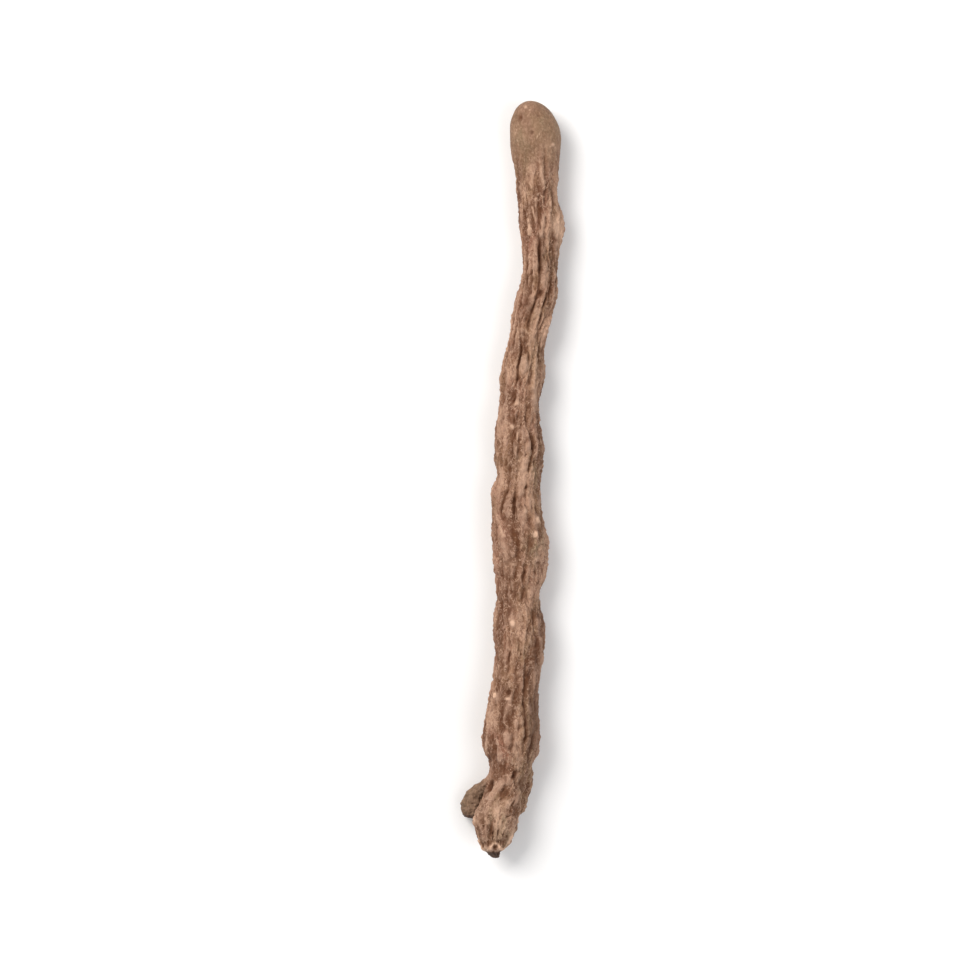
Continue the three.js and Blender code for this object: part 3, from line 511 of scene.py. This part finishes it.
# Floor, lights and camera, in metres; the sensor in millimetres
FLOOR_CORNERS = [(-3, -3, 0), (3, -3, 0), (3, 3, 0), (-3, 3, 0)]
FLOOR_COLOUR = (0.86, 0.86, 0.86, 1.0)
FLOOR_ROUGHNESS = 0.9
WHITE = (1.0, 1.0, 1.0, 1.0)
SKY_STRENGTH = 0.45
VIEW_WIDTH = 0.1518
VIEW_MIDDLE = (-0.0052, -0.0001)
AIM_HEIGHT = 0.006
CAMERA_DISTANCE = 0.9
SENSOR_WIDTH = 36

# Lights: name, place, size, power in watts and colour
LIGHTS = [
    ["key", (-0.36, 0.3, 0.52), 0.45, 5.2, (1.0, 0.97, 0.94)],
    ["fill", (0.5, -0.25, 0.6), 0.7, 3.0, (0.98, 0.98, 1.0)],
]


def smooth(t):
    return t * t * (3 - 2 * t)


def step(start, end, at):
    return smooth(np.clip((at - start) / (end - start), 0, 1))


def bell(t):
    return np.exp(-t * t)


def speck(i, j, seed):
    """A fixed pattern of values from 0 to 1."""
    value = np.sin(i * 127.1 + j * 311.7 + seed * 74.7) * 43758.5453
    return value - np.floor(value)


def drift(u, v, around, seed):
    """Smooth values from -1 to 1 that close on themselves after `around` cells of v."""
    i, j = np.floor(u), np.floor(v)
    a, b = smooth(u - i), smooth(v - j)
    here, there = j % around, (j + 1) % around
    near = speck(i, here, seed) * (1 - a) + speck(i + 1, here, seed) * a
    far = speck(i, there, seed) * (1 - a) + speck(i + 1, there, seed) * a
    return 2 * (near * (1 - b) + far * b) - 1


def flow(u, v, around, seed):
    """Gradient noise, about -1 to 1, that closes after `around` cells of v."""
    i, j = np.floor(u), np.floor(v)
    x, y = u - i, v - j

    def corner(across, along):
        turn = 2 * math.pi * speck(i + across, (j + along) % around, seed)
        return np.cos(turn) * (x - across) + np.sin(turn) * (y - along)

    a = x * x * x * (x * (x * 6 - 15) + 10)
    b = y * y * y * (y * (y * 6 - 15) + 10)
    near = corner(0, 0) * (1 - a) + corner(1, 0) * a
    far = corner(0, 1) * (1 - a) + corner(1, 1) * a
    return 1.5 * (near * (1 - b) + far * b)


def ripple(at, round_, length, cells, seed, sway=0):
    """Gradient noise in cells of a length, so many of them round the girth, pushed aside by `sway`."""
    return flow(at / length, round_ * cells + sway, cells, seed)


def curve(points, item=1):
    """A smooth curve through points; `item` picks which of their values it follows."""
    places = np.array([point[0] for point in points], float)
    values = np.array([point[item] for point in points], float)
    last = len(places) - 1
    before = np.maximum(np.arange(last + 1) - 1, 0)
    after = np.minimum(np.arange(last + 1) + 1, last)
    slope = (values[after] - values[before]) / (places[after] - places[before])

    def follow(at):
        i = np.clip(np.searchsorted(places, at), 1, last) - 1
        span = places[i + 1] - places[i]
        t = np.clip((at - places[i]) / span, 0, 1)
        leave = t * (1 - t) * (1 - t) * span * slope[i]
        arrive = t * t * (t - 1) * span * slope[i + 1]
        return values[i] * (1 - smooth(t)) + values[i + 1] * smooth(t) + leave + arrive

    return follow


left_edge = curve(OUTLINE, 1)
right_edge = curve(OUTLINE, 2)
middle_height = curve(MIDDLE_HEIGHT)


def closing(at):
    """How far the rounding of either end has closed the body in, from 0 to 1."""
    dome = 1 - np.clip(at / DOME_LENGTH, 0, 1)
    plug = 1 - np.clip((LENGTH - at) / PLUG_LENGTH, 0, 1)
    return np.sqrt(1 - dome * dome) * np.sqrt(1 - plug * plug)


def wrinkled(at):
    return step(WRINKLES_FROM, WRINKLES_FULL, at)


def knobbly(at):
    return step(KNOBBLY_FROM, KNOBBLY_FROM + 4, at)


def roughness(at):
    return wrinkled(at) * (1 - 0.4 * knobbly(at)) * (1 - step(116.5, 119, at))


def lessened(at, stretches):
    """What is left of a relief after the share that each stretch takes away."""
    left = 1.0
    for start, end, lost in stretches:
        left = left * (1 - lost * step(start, end, at))
    return left


def patch(at, x, spot, side, long, wide):
    """A soft oval, 1 in its middle."""
    return bell((at - spot) / long) * bell((x - side) / wide)


def furrow_angles(at, across, full):
    """Angles of all the furrows round each section, kept a little apart."""
    angles = []
    for i, points in enumerate(TOP_FURROWS):
        angle = np.arccos(np.clip((curve(points)(at) - across) / full, -OUTERMOST, OUTERMOST))
        angles.append(angle + MEANDER * drift(at / 2.7, i, FURROWS, 10))
    hidden = FURROWS - len(angles)
    first = angles[-1]
    sweep = angles[0] + 2 * math.pi - first
    for i in range(1, hidden + 1):
        wander = drift(at / 9, i, FURROWS, 3) + 0.4 * drift(at / 3.5, i, FURROWS, 4)
        angles.append(first + sweep * i / (hidden + 1) + WANDER * wander)
    for _ in range(SPACING_ROUNDS):
        for i in range(FURROWS):
            following = (i + 1) % FURROWS
            turn = 2 * math.pi if i + 1 == FURROWS else 0
            short = np.maximum(LEAST_SPACING - (angles[following] + turn - angles[i]), 0)
            angles[i] = angles[i] - short / 2
            angles[following] = angles[following] + short / 2
    return np.stack(angles, axis=1)


def furrow_depths(at):
    """Depth of every furrow along the body, deeper in the clefts and in places out of sight."""
    depths = []
    for i in range(FURROWS):
        depth = FURROW_DEPTH * np.maximum(0.15, 1 + 1.3 * drift(at / 3.1, i, FURROWS, 5))
        for which, start, end, extra in CLEFTS:
            if which == i:
                part = np.clip((at - start) / (end - start), 0, 1)
                depth = depth + extra * np.sqrt(np.maximum(np.sin(math.pi * part), 0))
        if i >= len(TOP_FURROWS):
            depth = depth + 0.4 * step(0.2, 0.7, drift(at / 6, i, FURROWS, 6))
        depths.append(depth * roughness(at))
    return np.stack(depths, axis=1)


def ridge_relief(at, ridge, part, width, depths):
    """Rounded ridges, the broken furrows between them and a wrinkle along each."""
    strand = (ridge + part) / FURROWS
    calm = lessened(at, CALMER_RIDGES)
    crest = 1 - bell(np.minimum(part, 1 - part) * width / FURROW_HALF_WIDTH)
    crest = crest * drift(at / 2.3, 4 * (ridge + part), 4 * FURROWS, 9)
    rounding = RIDGE_ROUNDING * (0.9 + 1.2 * drift(at / 2.2, ridge, FURROWS, 63)) * roughness(at)
    rise = CREST_HEIGHT * roughness(at) * crest + calm * rounding * (0.5 - (2 * part - 1) ** 2)

    warp = 0.22 * ripple(at, strand, 1.5, 22, 61) + 0.12 * ripple(at, strand, 0.7, 34, 66)
    breaks = np.maximum(0.85 + 0.8 * ripple(at, strand, 1.5, 18, 62), 0.1)
    cut = FURROW_SHARE * calm * depths
    rise = rise - breaks * cut * bell((part * width + warp) / CLEFT_HALF_WIDTH)
    cut = np.roll(cut, -1, axis=1)
    rise = rise - breaks * cut * bell(((1 - part) * width - warp) / CLEFT_HALF_WIDTH)

    place = 0.5 + 0.22 * drift(at / 2.8, ridge, FURROWS, 8)
    wrinkle = WRINKLE_DEPTH * step(-0.4, 0.4, drift(at / 2.9, ridge, FURROWS, 7)) * roughness(at)
    wrinkle = WRINKLE_SHARE * calm * wrinkle
    return rise - breaks * wrinkle * bell(((part - place) * width + warp) / WRINKLE_HALF_WIDTH)


def swellings(at, round_):
    """Broad swellings all along, and the tip's larger knobs."""
    broad = SWELLING * drift(at / 6.5, round_ * 5, 5, 1)
    small = SMALL_SWELLING * drift(at / 2.6, round_ * 10, 10, 2)
    return step(0, 6, at) * (broad + small) + KNOB_HEIGHT * knobbly(at) * drift(at / 1.7, round_ * 9, 9, 11)


def wrinkle_net(at, round_):
    """Fine wrinkles: a net of valleys stretched along the length, and the lumps between them."""
    sway = 0.9 * ripple(at, round_, 2.4, 13, 41) + 0.5 * ripple(at, round_, 0.8, 26, 47)
    coarse = ripple(at, round_, 1.8, 24, 42, sway)
    fine = ripple(at, round_, 0.85, 40, 43, 1.6 * sway)
    patchy = 0.8 + 0.4 * ripple(at, round_, 5, 6, 44) + 0.5 * ripple(at, round_, 1.1, 20, 48)
    valleys = COARSE_VALLEY * bell(coarse / 0.2) + FINE_VALLEY * bell(fine / 0.24)
    lumps = LUMP_HEIGHT * ripple(at, round_, 1.0, 24, 45)
    lumps = lumps + SMALL_LUMP_HEIGHT * ripple(at, round_, 0.5, 40, 46)
    return lumps - np.maximum(patchy, 0.1) * valleys


def tip_knobs(at, round_):
    """Small knobs and pits that cover the tip."""
    knobs = TIP_CREASE * np.abs(ripple(at, round_, 1.0, 22, 51)) - 0.07
    return knobs - TIP_PIT * step(0.36, 0.7, ripple(at, round_, 0.8, 26, 52))


def along_stroke(at, x, points):
    """Distance of every place from a line through the points."""
    nearest = np.full(np.broadcast(at, x).shape, 99.0)
    for (s0, x0), (s1, x1) in zip(points, points[1:]):
        span = (s1 - s0) ** 2 + (x1 - x0) ** 2
        part = np.clip(((at - s0) * (s1 - s0) + (x - x0) * (x1 - x0)) / span, 0, 1)
        gap = np.hypot(at - s0 - part * (s1 - s0), x - x0 - part * (x1 - x0))
        nearest = np.minimum(nearest, gap)
    return nearest


def placed_marks(at, x):
    """Height, paleness and tint of everything placed one by one on top; the paleness holds painted shade in
    creases and pits, painted highlight on nubs and the left edge, and painted shadow on the right flank.
    """
    rise, pale, tint = np.zeros(x.shape), np.zeros(x.shape), np.zeros(x.shape)
    for *oval, height in TOP_MARKS:
        rise += height * patch(at, x, *oval)
    for *oval, height, tone in FINE_MARKS:
        rise += height * patch(at, x, *oval)
        pale += tone * patch(at, x, *oval)
    for *oval, tone in SHADES:
        pale += tone * patch(at, x, *oval)
    for *oval, tone in ZONES:
        tint += tone * patch(at, x, *oval)
    unsteady = 0.75 + 0.5 * flow(at / 0.7, 3 * x, 999, 64)
    for height, tone, wide, points in STROKES:
        mark = bell(along_stroke(at, x, points) / wide) * unsteady
        rise += STROKE_SHARE * height * mark
        pale += TONE_SHARE * tone * mark
    return rise, pale, tint


def root_scars(at, angle, half, strand):
    """Low rings round a pit, how pale their ragged rims are, and painted shade in the pit."""
    rise, pale = 0, 0
    ragged = 1 + 0.5 * ripple(at, strand, 0.6, 40, 71)
    rim = 0.5 + 0.8 * ripple(at, strand, 0.5, 34, 72)
    for spot, degrees, radius, height in ROOT_SCARS:
        turn = (angle - math.radians(degrees) + math.pi) % (2 * math.pi) - math.pi
        away = ragged * np.hypot(at - spot, turn * half) / radius
        rise = rise + height * (bell(away) - 1.2 * bell(away / 0.4))
        # Pale ragged rims, and painted shade in the pit
        pale = pale + rim * bell((away - 0.8) / 0.4) - 1.2 * bell(away / 0.4)
    return rise, pale


def pressed(z, at, x):
    """The underside, flat on the floor at its low spots."""
    for *oval, drop in LOW_SPOTS:
        z = z + (-drop - z) * patch(at, x, *oval) ** 2
    return np.maximum(z, 0)


def body_rings():
    """Distances of the rings from the domed end, closer together at both ends."""
    dome = DOME_LENGTH * (1 - np.cos(np.arange(1, 29) * math.pi / 56))
    along = np.linspace(DOME_LENGTH, 116.5, BODY_RINGS + 1)[1:]
    end = np.concatenate([np.arange(116.65, 118.6, 0.15), np.arange(118.66, 119.9, 0.08)])
    return np.concatenate([dome, along, end, [119.93]])


def body_grid():
    """Places, and the height, paleness and tint of the skin, on a grid round and along the body."""
    rings = body_rings()
    across = (right_edge(rings) + left_edge(rings)) / 2
    full = (right_edge(rings) - left_edge(rings)) / 2
    angles = furrow_angles(rings, across, full)
    ends = np.concatenate([angles[:, 1:], angles[:, :1] + 2 * math.pi], axis=1)
    part = (np.arange(COLUMNS_PER_RIDGE) / COLUMNS_PER_RIDGE)[None, None, :]
    ridge = np.arange(FURROWS)[None, :, None]
    at = rings[:, None, None]
    half = (full * closing(rings))[:, None, None]
    sweep = (ends - angles)[:, :, None]
    angle = angles[:, :, None] + sweep * part
    strand = (ridge + part) / FURROWS
    x = across[:, None, None] + half * np.cos(angle)
    top = np.sin(angle) > 0

    rise = ridge_relief(at, ridge, part, sweep * half, furrow_depths(rings)[:, :, None])
    rise = rise + swellings(at, angle / (2 * math.pi))
    placed_rise, pale, zones = placed_marks(at, x)
    scar_rise, scar_pale = root_scars(at, angle, half, strand)
    rise = rise + top * placed_rise + scar_rise
    pale = top * pale + scar_pale
    tint = DOME_TINT * (1 - step(6, 17, at)) + top * zones
    fine = 0.2 + 0.8 * step(7, 17, at)
    rise = rise + fine * (1 - 0.6 * knobbly(at)) * wrinkle_net(at, strand)
    rise = rise + FOLD_HEIGHT * lessened(at, CALMER_FOLDS) * fine * ripple(at, strand, 3.8, 15, 65)
    rise = rise + knobbly(at) * tip_knobs(at, strand)
    rise = rise * closing(at)

    z = middle_height(rings)[:, None, None] + (half * HEIGHT_TO_WIDTH + rise) * np.sin(angle)
    z = np.where(top, z, pressed(z, at, x))
    x = x + rise * np.cos(angle)
    y = np.broadcast_to(LENGTH / 2 - at, x.shape)
    shape = (len(rings), FURROWS * COLUMNS_PER_RIDGE)
    places = np.stack([grid.reshape(shape) for grid in (x, y, z)], axis=2)
    return places, rise.reshape(shape), pale.reshape(shape), tint.reshape(shape)


def soften(grid, rounds, lengths):
    """The grid blurred round the girth and along the length."""
    for _ in range(rounds):
        grid = (np.roll(grid, 1, axis=1) + 2 * grid + np.roll(grid, -1, axis=1)) / 4
    for _ in range(lengths):
        padded = np.concatenate([grid[:1], grid, grid[-1:]])
        grid = (padded[:-2] + 2 * grid + padded[2:]) / 4
    return grid


def skin(places, start, end):
    """Vertices and faces of a closed skin over a grid, with a point at each end."""
    rings, sides = places.shape[:2]
    points = np.concatenate([[start], places.reshape(-1, 3), [end]])
    index = 1 + np.arange(rings * sides).reshape(rings, sides)
    following = np.roll(index, -1, axis=1)
    quads = np.stack([index[:-1], following[:-1], following[1:], index[1:]], axis=2).reshape(-1, 4)
    faces = quads.tolist()
    faces += [[0, int(b), int(a)] for a, b in zip(index[0], following[0])]
    faces += [[len(points) - 1, int(a), int(b)] for a, b in zip(index[-1], following[-1])]
    return points, faces


def add_object(name, data):
    item = bpy.data.objects.new(name, data)
    bpy.context.scene.collection.objects.link(item)
    return item


def with_ends(grid):
    return np.concatenate([[grid[0].mean()], grid.ravel(), [grid[-1].mean()]])


def grow(name, grid, start, end, layers):
    """A closed skin over a grid, its points, and the value of every layer at each of them."""
    shift = np.array([SHIFT_X, 0, 0])
    points, faces = skin(grid + shift, start + shift, end + shift)
    mesh = bpy.data.meshes.new(name)
    mesh.from_pydata((points * MM).tolist(), [], faces)
    mesh.shade_smooth()
    values = np.stack([with_ends(layer) for layer in layers], axis=1)
    return add_object(name, mesh), points, values


def make_body():
    places, rise, pale, tint = body_grid()
    at = LENGTH / 2 - places[:, :, 1]
    # Painted shade and highlight: how far each place lies below its surroundings, finely and broadly
    hollow = (soften(rise, 20, 26) - rise) / HOLLOW_DEPTH
    dip = (soften(rise, 120, 80) - soften(rise, 5, 10)) / DIP_DEPTH
    broken = step(118.75, 119.1, at)
    layers = [hollow, dip, pale, tint, wrinkled(at), broken, np.zeros_like(rise)]
    return grow("body", places, DOME_POINT, TIP_POINT, layers)


def branch_relief(at, angle, seed):
    """Half width of a branch's skin round its middle, as a share of the plain one."""
    round_ = angle / (2 * math.pi)
    groove = 0.5 - 0.5 * np.cos(BRANCH_RIDGES * angle + 0.5 * ripple(at, round_, 2, BRANCH_RIDGES, seed))
    depth = BRANCH_GROOVE + GROOVE_CHANGE * drift(at / 2.5, round_ * BRANCH_RIDGES, BRANCH_RIDGES, seed)
    relief = 1 - depth * groove**2 + BRANCH_SWELLING * drift(at / 2, round_ * 6, 6, seed + 1)
    sway = 0.8 * ripple(at, round_, 1.2, 8, seed + 4)
    relief = relief - BRANCH_VALLEY * bell(ripple(at, round_, 1.6, 15, seed + 2, sway) / 0.2)
    relief = relief + BRANCH_LUMPS * ripple(at, round_, 0.9, 8, seed + 3)
    return relief + BRANCH_GRAIN * ripple(at, round_, 0.35, 22, seed + 5)


def make_branch(name, stations, end, sides, rings, seed, stump):
    """A ridged branch with a rough end, broken off and grey where `stump` is 1."""
    count = len(stations)
    rows = [[i, *station] for i, station in enumerate(stations)]
    t = np.linspace(0, count - 1, rings)
    x, y, z, wide, high = (curve(rows, item)(t)[:, None] for item in range(1, 6))
    heading = np.concatenate([np.gradient(x, axis=0), np.gradient(y, axis=0)], axis=1)
    heading /= np.linalg.norm(heading, axis=1)[:, None]
    angle = 2 * math.pi * np.arange(sides)[None, :] / sides
    at = t[:, None]
    relief = branch_relief(at, angle, seed)
    sideways = wide * relief * np.cos(angle)
    across = x - heading[:, 1:2] * sideways
    along = y + heading[:, 0:1] * sideways
    up = np.maximum(z + high * relief * np.sin(angle), 0)
    # Painted shade in the branch's grooves and painted highlight on its ridges
    hollow = (soften(relief, 8, 5) - relief) * BRANCH_HALF_WIDTH / HOLLOW_DEPTH
    none = np.zeros_like(hollow)
    # The stub's broken end, which takes painted shade as it lies in the tip's shadow
    broken = none + stump * step(count - 2.2, count - 1.4, at)
    bark = none + stump * step(1.5, 4, at)
    layers = [hollow, none, none, none + BRANCH_TINT, none + 1, broken, bark]
    return grow(name, np.stack([across, along, up], axis=2), stations[0][:3], end, layers)


def islands(shape):
    """Groups of faces that hang together by edges that exactly two faces share."""
    seen = set()
    for first in shape.faces:
        if first in seen:
            continue
        seen.add(first)
        island = [first]
        for face in island:
            shared = [edge for edge in face.edges if len(edge.link_faces) == 2]
            for other in [other for edge in shared for other in edge.link_faces]:
                if other not in seen:
                    seen.add(other)
                    island.append(other)
        yield island


def drop_slivers(mesh):
    """Take away the bent edges and loose scraps that a union leaves along its seams."""
    shape = bmesh.new()
    shape.from_mesh(mesh)
    for _ in range(SLIVER_ROUNDS):
        bends = [vertex for vertex in shape.verts if len(vertex.link_edges) == 2]
        bmesh.ops.dissolve_verts(shape, verts=bends)
    bmesh.ops.triangulate(shape, faces=[face for face in shape.faces if len(face.verts) > 4])
    scraps = [face for island in islands(shape) if len(island) < LEAST_FACES for face in island]
    bmesh.ops.delete(shape, geom=scraps, context="FACES")
    shape.to_mesh(mesh)
    shape.free()


def carry_layers(mesh, points, values):
    """Give each vertex the values of the nearest of the points."""
    tree = KDTree(len(points))
    for i, point in enumerate(points * MM):
        tree.insert(point, i)
    tree.balance()
    nearest = [tree.find(vertex.co)[1] for vertex in mesh.vertices]
    for i, layer in enumerate(LAYERS):
        attribute = mesh.attributes.new(layer, "FLOAT", "POINT")
        attribute.data.foreach_set("value", np.ascontiguousarray(values[nearest, i], dtype=np.float32))


def join(name, grown):
    """The branches grown into the body as one skin, with each place's values carried over."""
    parts, points, values = zip(*grown)
    body = parts[0]
    for branch in parts[1:]:
        union = body.modifiers.new("union", "BOOLEAN")
        union.operation = "UNION"
        union.solver = "EXACT"
        union.object = branch
    evaluated = body.evaluated_get(bpy.context.evaluated_depsgraph_get())
    joined = bpy.data.meshes.new_from_object(evaluated)
    drop_slivers(joined)
    carry_layers(joined, np.concatenate(points), np.concatenate(values))
    piece = add_object(name, joined)
    for part in parts:
        bpy.data.objects.remove(part)
    return piece


def linear(red, green, blue):
    """A colour given in screen values from 0 to 255."""
    return tuple(((c / 255 + 0.055) / 1.055) ** 2.4 for c in (red, green, blue)) + (1.0,)


class Nodes:
    """Short ways to build a node material."""

    def __init__(self, name):
        self.material = bpy.data.materials.new(name)
        self.material.use_nodes = True
        self.tree = self.material.node_tree
        self.shader = self.tree.nodes["Principled BSDF"]

    def add(self, kind, **values):
        node = self.tree.nodes.new(kind)
        for key, value in values.items():
            setattr(node, key, value)
        return node

    def put(self, socket, value):
        if isinstance(value, bpy.types.NodeSocket):
            self.tree.links.new(value, socket)
        else:
            socket.default_value = value

    def layer(self, name):
        return self.add("ShaderNodeAttribute", attribute_name=name).outputs["Fac"]

    def noise(self, stretch, scale, detail, rough, warp):
        """Noise in millimetres, drawn out along the length by `stretch`."""
        where = self.add("ShaderNodeTexCoord").outputs["Object"]
        mapping = self.add("ShaderNodeMapping")
        self.put(mapping.inputs["Vector"], where)
        self.put(mapping.inputs["Scale"], (1000, 1000 / stretch, 1000))
        noise = self.add("ShaderNodeTexNoise")
        self.put(noise.inputs["Vector"], mapping.outputs["Vector"])
        self.put(noise.inputs["Scale"], scale)
        self.put(noise.inputs["Detail"], detail)
        self.put(noise.inputs["Roughness"], rough)
        self.put(noise.inputs["Distortion"], warp)
        return noise.outputs["Fac"]

    def math(self, operation, a, b=0.0):
        node = self.add("ShaderNodeMath", operation=operation)
        self.put(node.inputs[0], a)
        self.put(node.inputs[1], b)
        return node.outputs[0]

    def spread(self, value, low, high, to_low=0.0, to_high=1.0):
        """The value moved from one range to another, and kept inside it."""
        node = self.add("ShaderNodeMapRange", interpolation_type="SMOOTHSTEP")
        for socket, setting in zip(node.inputs, (value, low, high, to_low, to_high)):
            self.put(socket, setting)
        return node.outputs[0]

    def mix(self, share, a, b):
        node = self.add("ShaderNodeMix", data_type="RGBA", blend_type="MIX")
        self.put(node.inputs["Factor"], share)
        self.put(node.inputs["A"], a)
        self.put(node.inputs["B"], b)
        return node.outputs["Result"]

    def bump(self, height, distance, strength, normal):
        node = self.add("ShaderNodeBump")
        self.put(node.inputs["Height"], height)
        self.put(node.inputs["Distance"], distance)
        self.put(node.inputs["Strength"], strength)
        if normal is not None:
            self.put(node.inputs["Normal"], normal)
        return node.outputs["Normal"]


def dried_skin():
    """Dry grey-brown skin with patches and a broken grey stub; the pale crests are painted highlight and
    the dark furrows painted shade.
    """
    n = Nodes("dried_skin")
    source = {layer: n.layer(layer) for layer in LAYERS}
    for name, pattern in PATTERNS.items():
        source[name] = n.noise(*pattern)
    for name, pattern in THIN_LINES.items():
        source[name] = n.math("ABSOLUTE", n.math("SUBTRACT", n.noise(*pattern), 0.5))
    # Painted shade in the furrows: the hollows, roughened by the grain
    source["furrow"] = n.math("ADD", source["hollow"], n.math("MULTIPLY", source["grain"], 0.5))

    def two_tone(name, start, end, first, second):
        return n.mix(n.spread(source[name], start, end), linear(*first), linear(*second))

    colour = two_tone(*GROUND)
    for name, start, end, greatest, over in COLOURS:
        share = n.spread(source[name], start, end, 0.0, greatest)
        if name in ON_WRINKLES_ONLY:
            share = n.math("MULTIPLY", share, source["wrinkled"])
        colour = n.mix(share, colour, linear(*over))
    colour = n.mix(n.math("MULTIPLY", source["stump"], BARK_SHARE), colour, two_tone(*BARK))
    # Broken ends: the tip's dark plug, and painted shade on the stub's end
    colour = n.mix(n.math("MULTIPLY", source["broken"], BROKEN_END_AND_SHADE_SHARE), colour, two_tone(*BROKEN_END_AND_SHADE))

    normal = None
    for name, distance, strength in BUMPS:
        normal = n.bump(source[name], distance, strength, normal)
    n.put(n.shader.inputs["Base Color"], colour)
    n.put(n.shader.inputs["Roughness"], n.spread(source["streaks"], 0.3, 0.7, *ROUGHNESS_RANGE))
    n.put(n.shader.inputs["Specular IOR Level"], SKIN_SHINE)
    n.put(n.shader.inputs["Normal"], normal)
    return n.material


# The one piece, in place of the plain solid
body = make_body()
stub = make_branch("stub", STUB, STUB_POINT, 54, 64, 21, 1.0)
lobe = make_branch("lobe", LOBE, LOBE_POINT, 48, 60, 31, 0.0)
rhizome = join("dried_rhizome", [body, stub, lobe])
rhizome.data.materials.clear()
rhizome.data.materials.append(dried_skin())
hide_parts("rhizome")
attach(rhizome, "root")

# Plain pale floor
floor_mesh = bpy.data.meshes.new("floor")
floor_mesh.from_pydata(FLOOR_CORNERS, [], [(0, 1, 2, 3)])
floor = add_object("floor", floor_mesh)
floor_nodes = Nodes("pale_floor")
floor_nodes.put(floor_nodes.shader.inputs["Base Color"], FLOOR_COLOUR)
floor_nodes.put(floor_nodes.shader.inputs["Roughness"], FLOOR_ROUGHNESS)
floor_mesh.materials.append(floor_nodes.material)

# Soft studio light from the upper left, with a broad fill
for name, place, size, power, colour in LIGHTS:
    light = bpy.data.lights.new(name, "AREA")
    light.size = size
    light.energy = power
    light.color = colour
    lamp = add_object(name, light)
    lamp.location = place
    lamp.rotation_euler = (-Vector(place)).to_track_quat("-Z", "Y").to_euler()
world = bpy.data.worlds.new("studio")
bpy.context.scene.world = world
world.use_nodes = True
world.node_tree.nodes["Background"].inputs["Color"].default_value = WHITE
world.node_tree.nodes["Background"].inputs["Strength"].default_value = SKY_STRENGTH
bpy.context.scene.view_settings.view_transform = "Standard"

# Camera straight above
camera_data = bpy.data.cameras.new("camera")
camera_data.sensor_width = SENSOR_WIDTH
camera_data.lens = SENSOR_WIDTH * CAMERA_DISTANCE / VIEW_WIDTH
camera_data.clip_start = 0.05
camera_data.clip_end = 20
camera = add_object("camera", camera_data)
camera.location = (*VIEW_MIDDLE, AIM_HEIGHT + CAMERA_DISTANCE)
bpy.context.scene.camera = camera
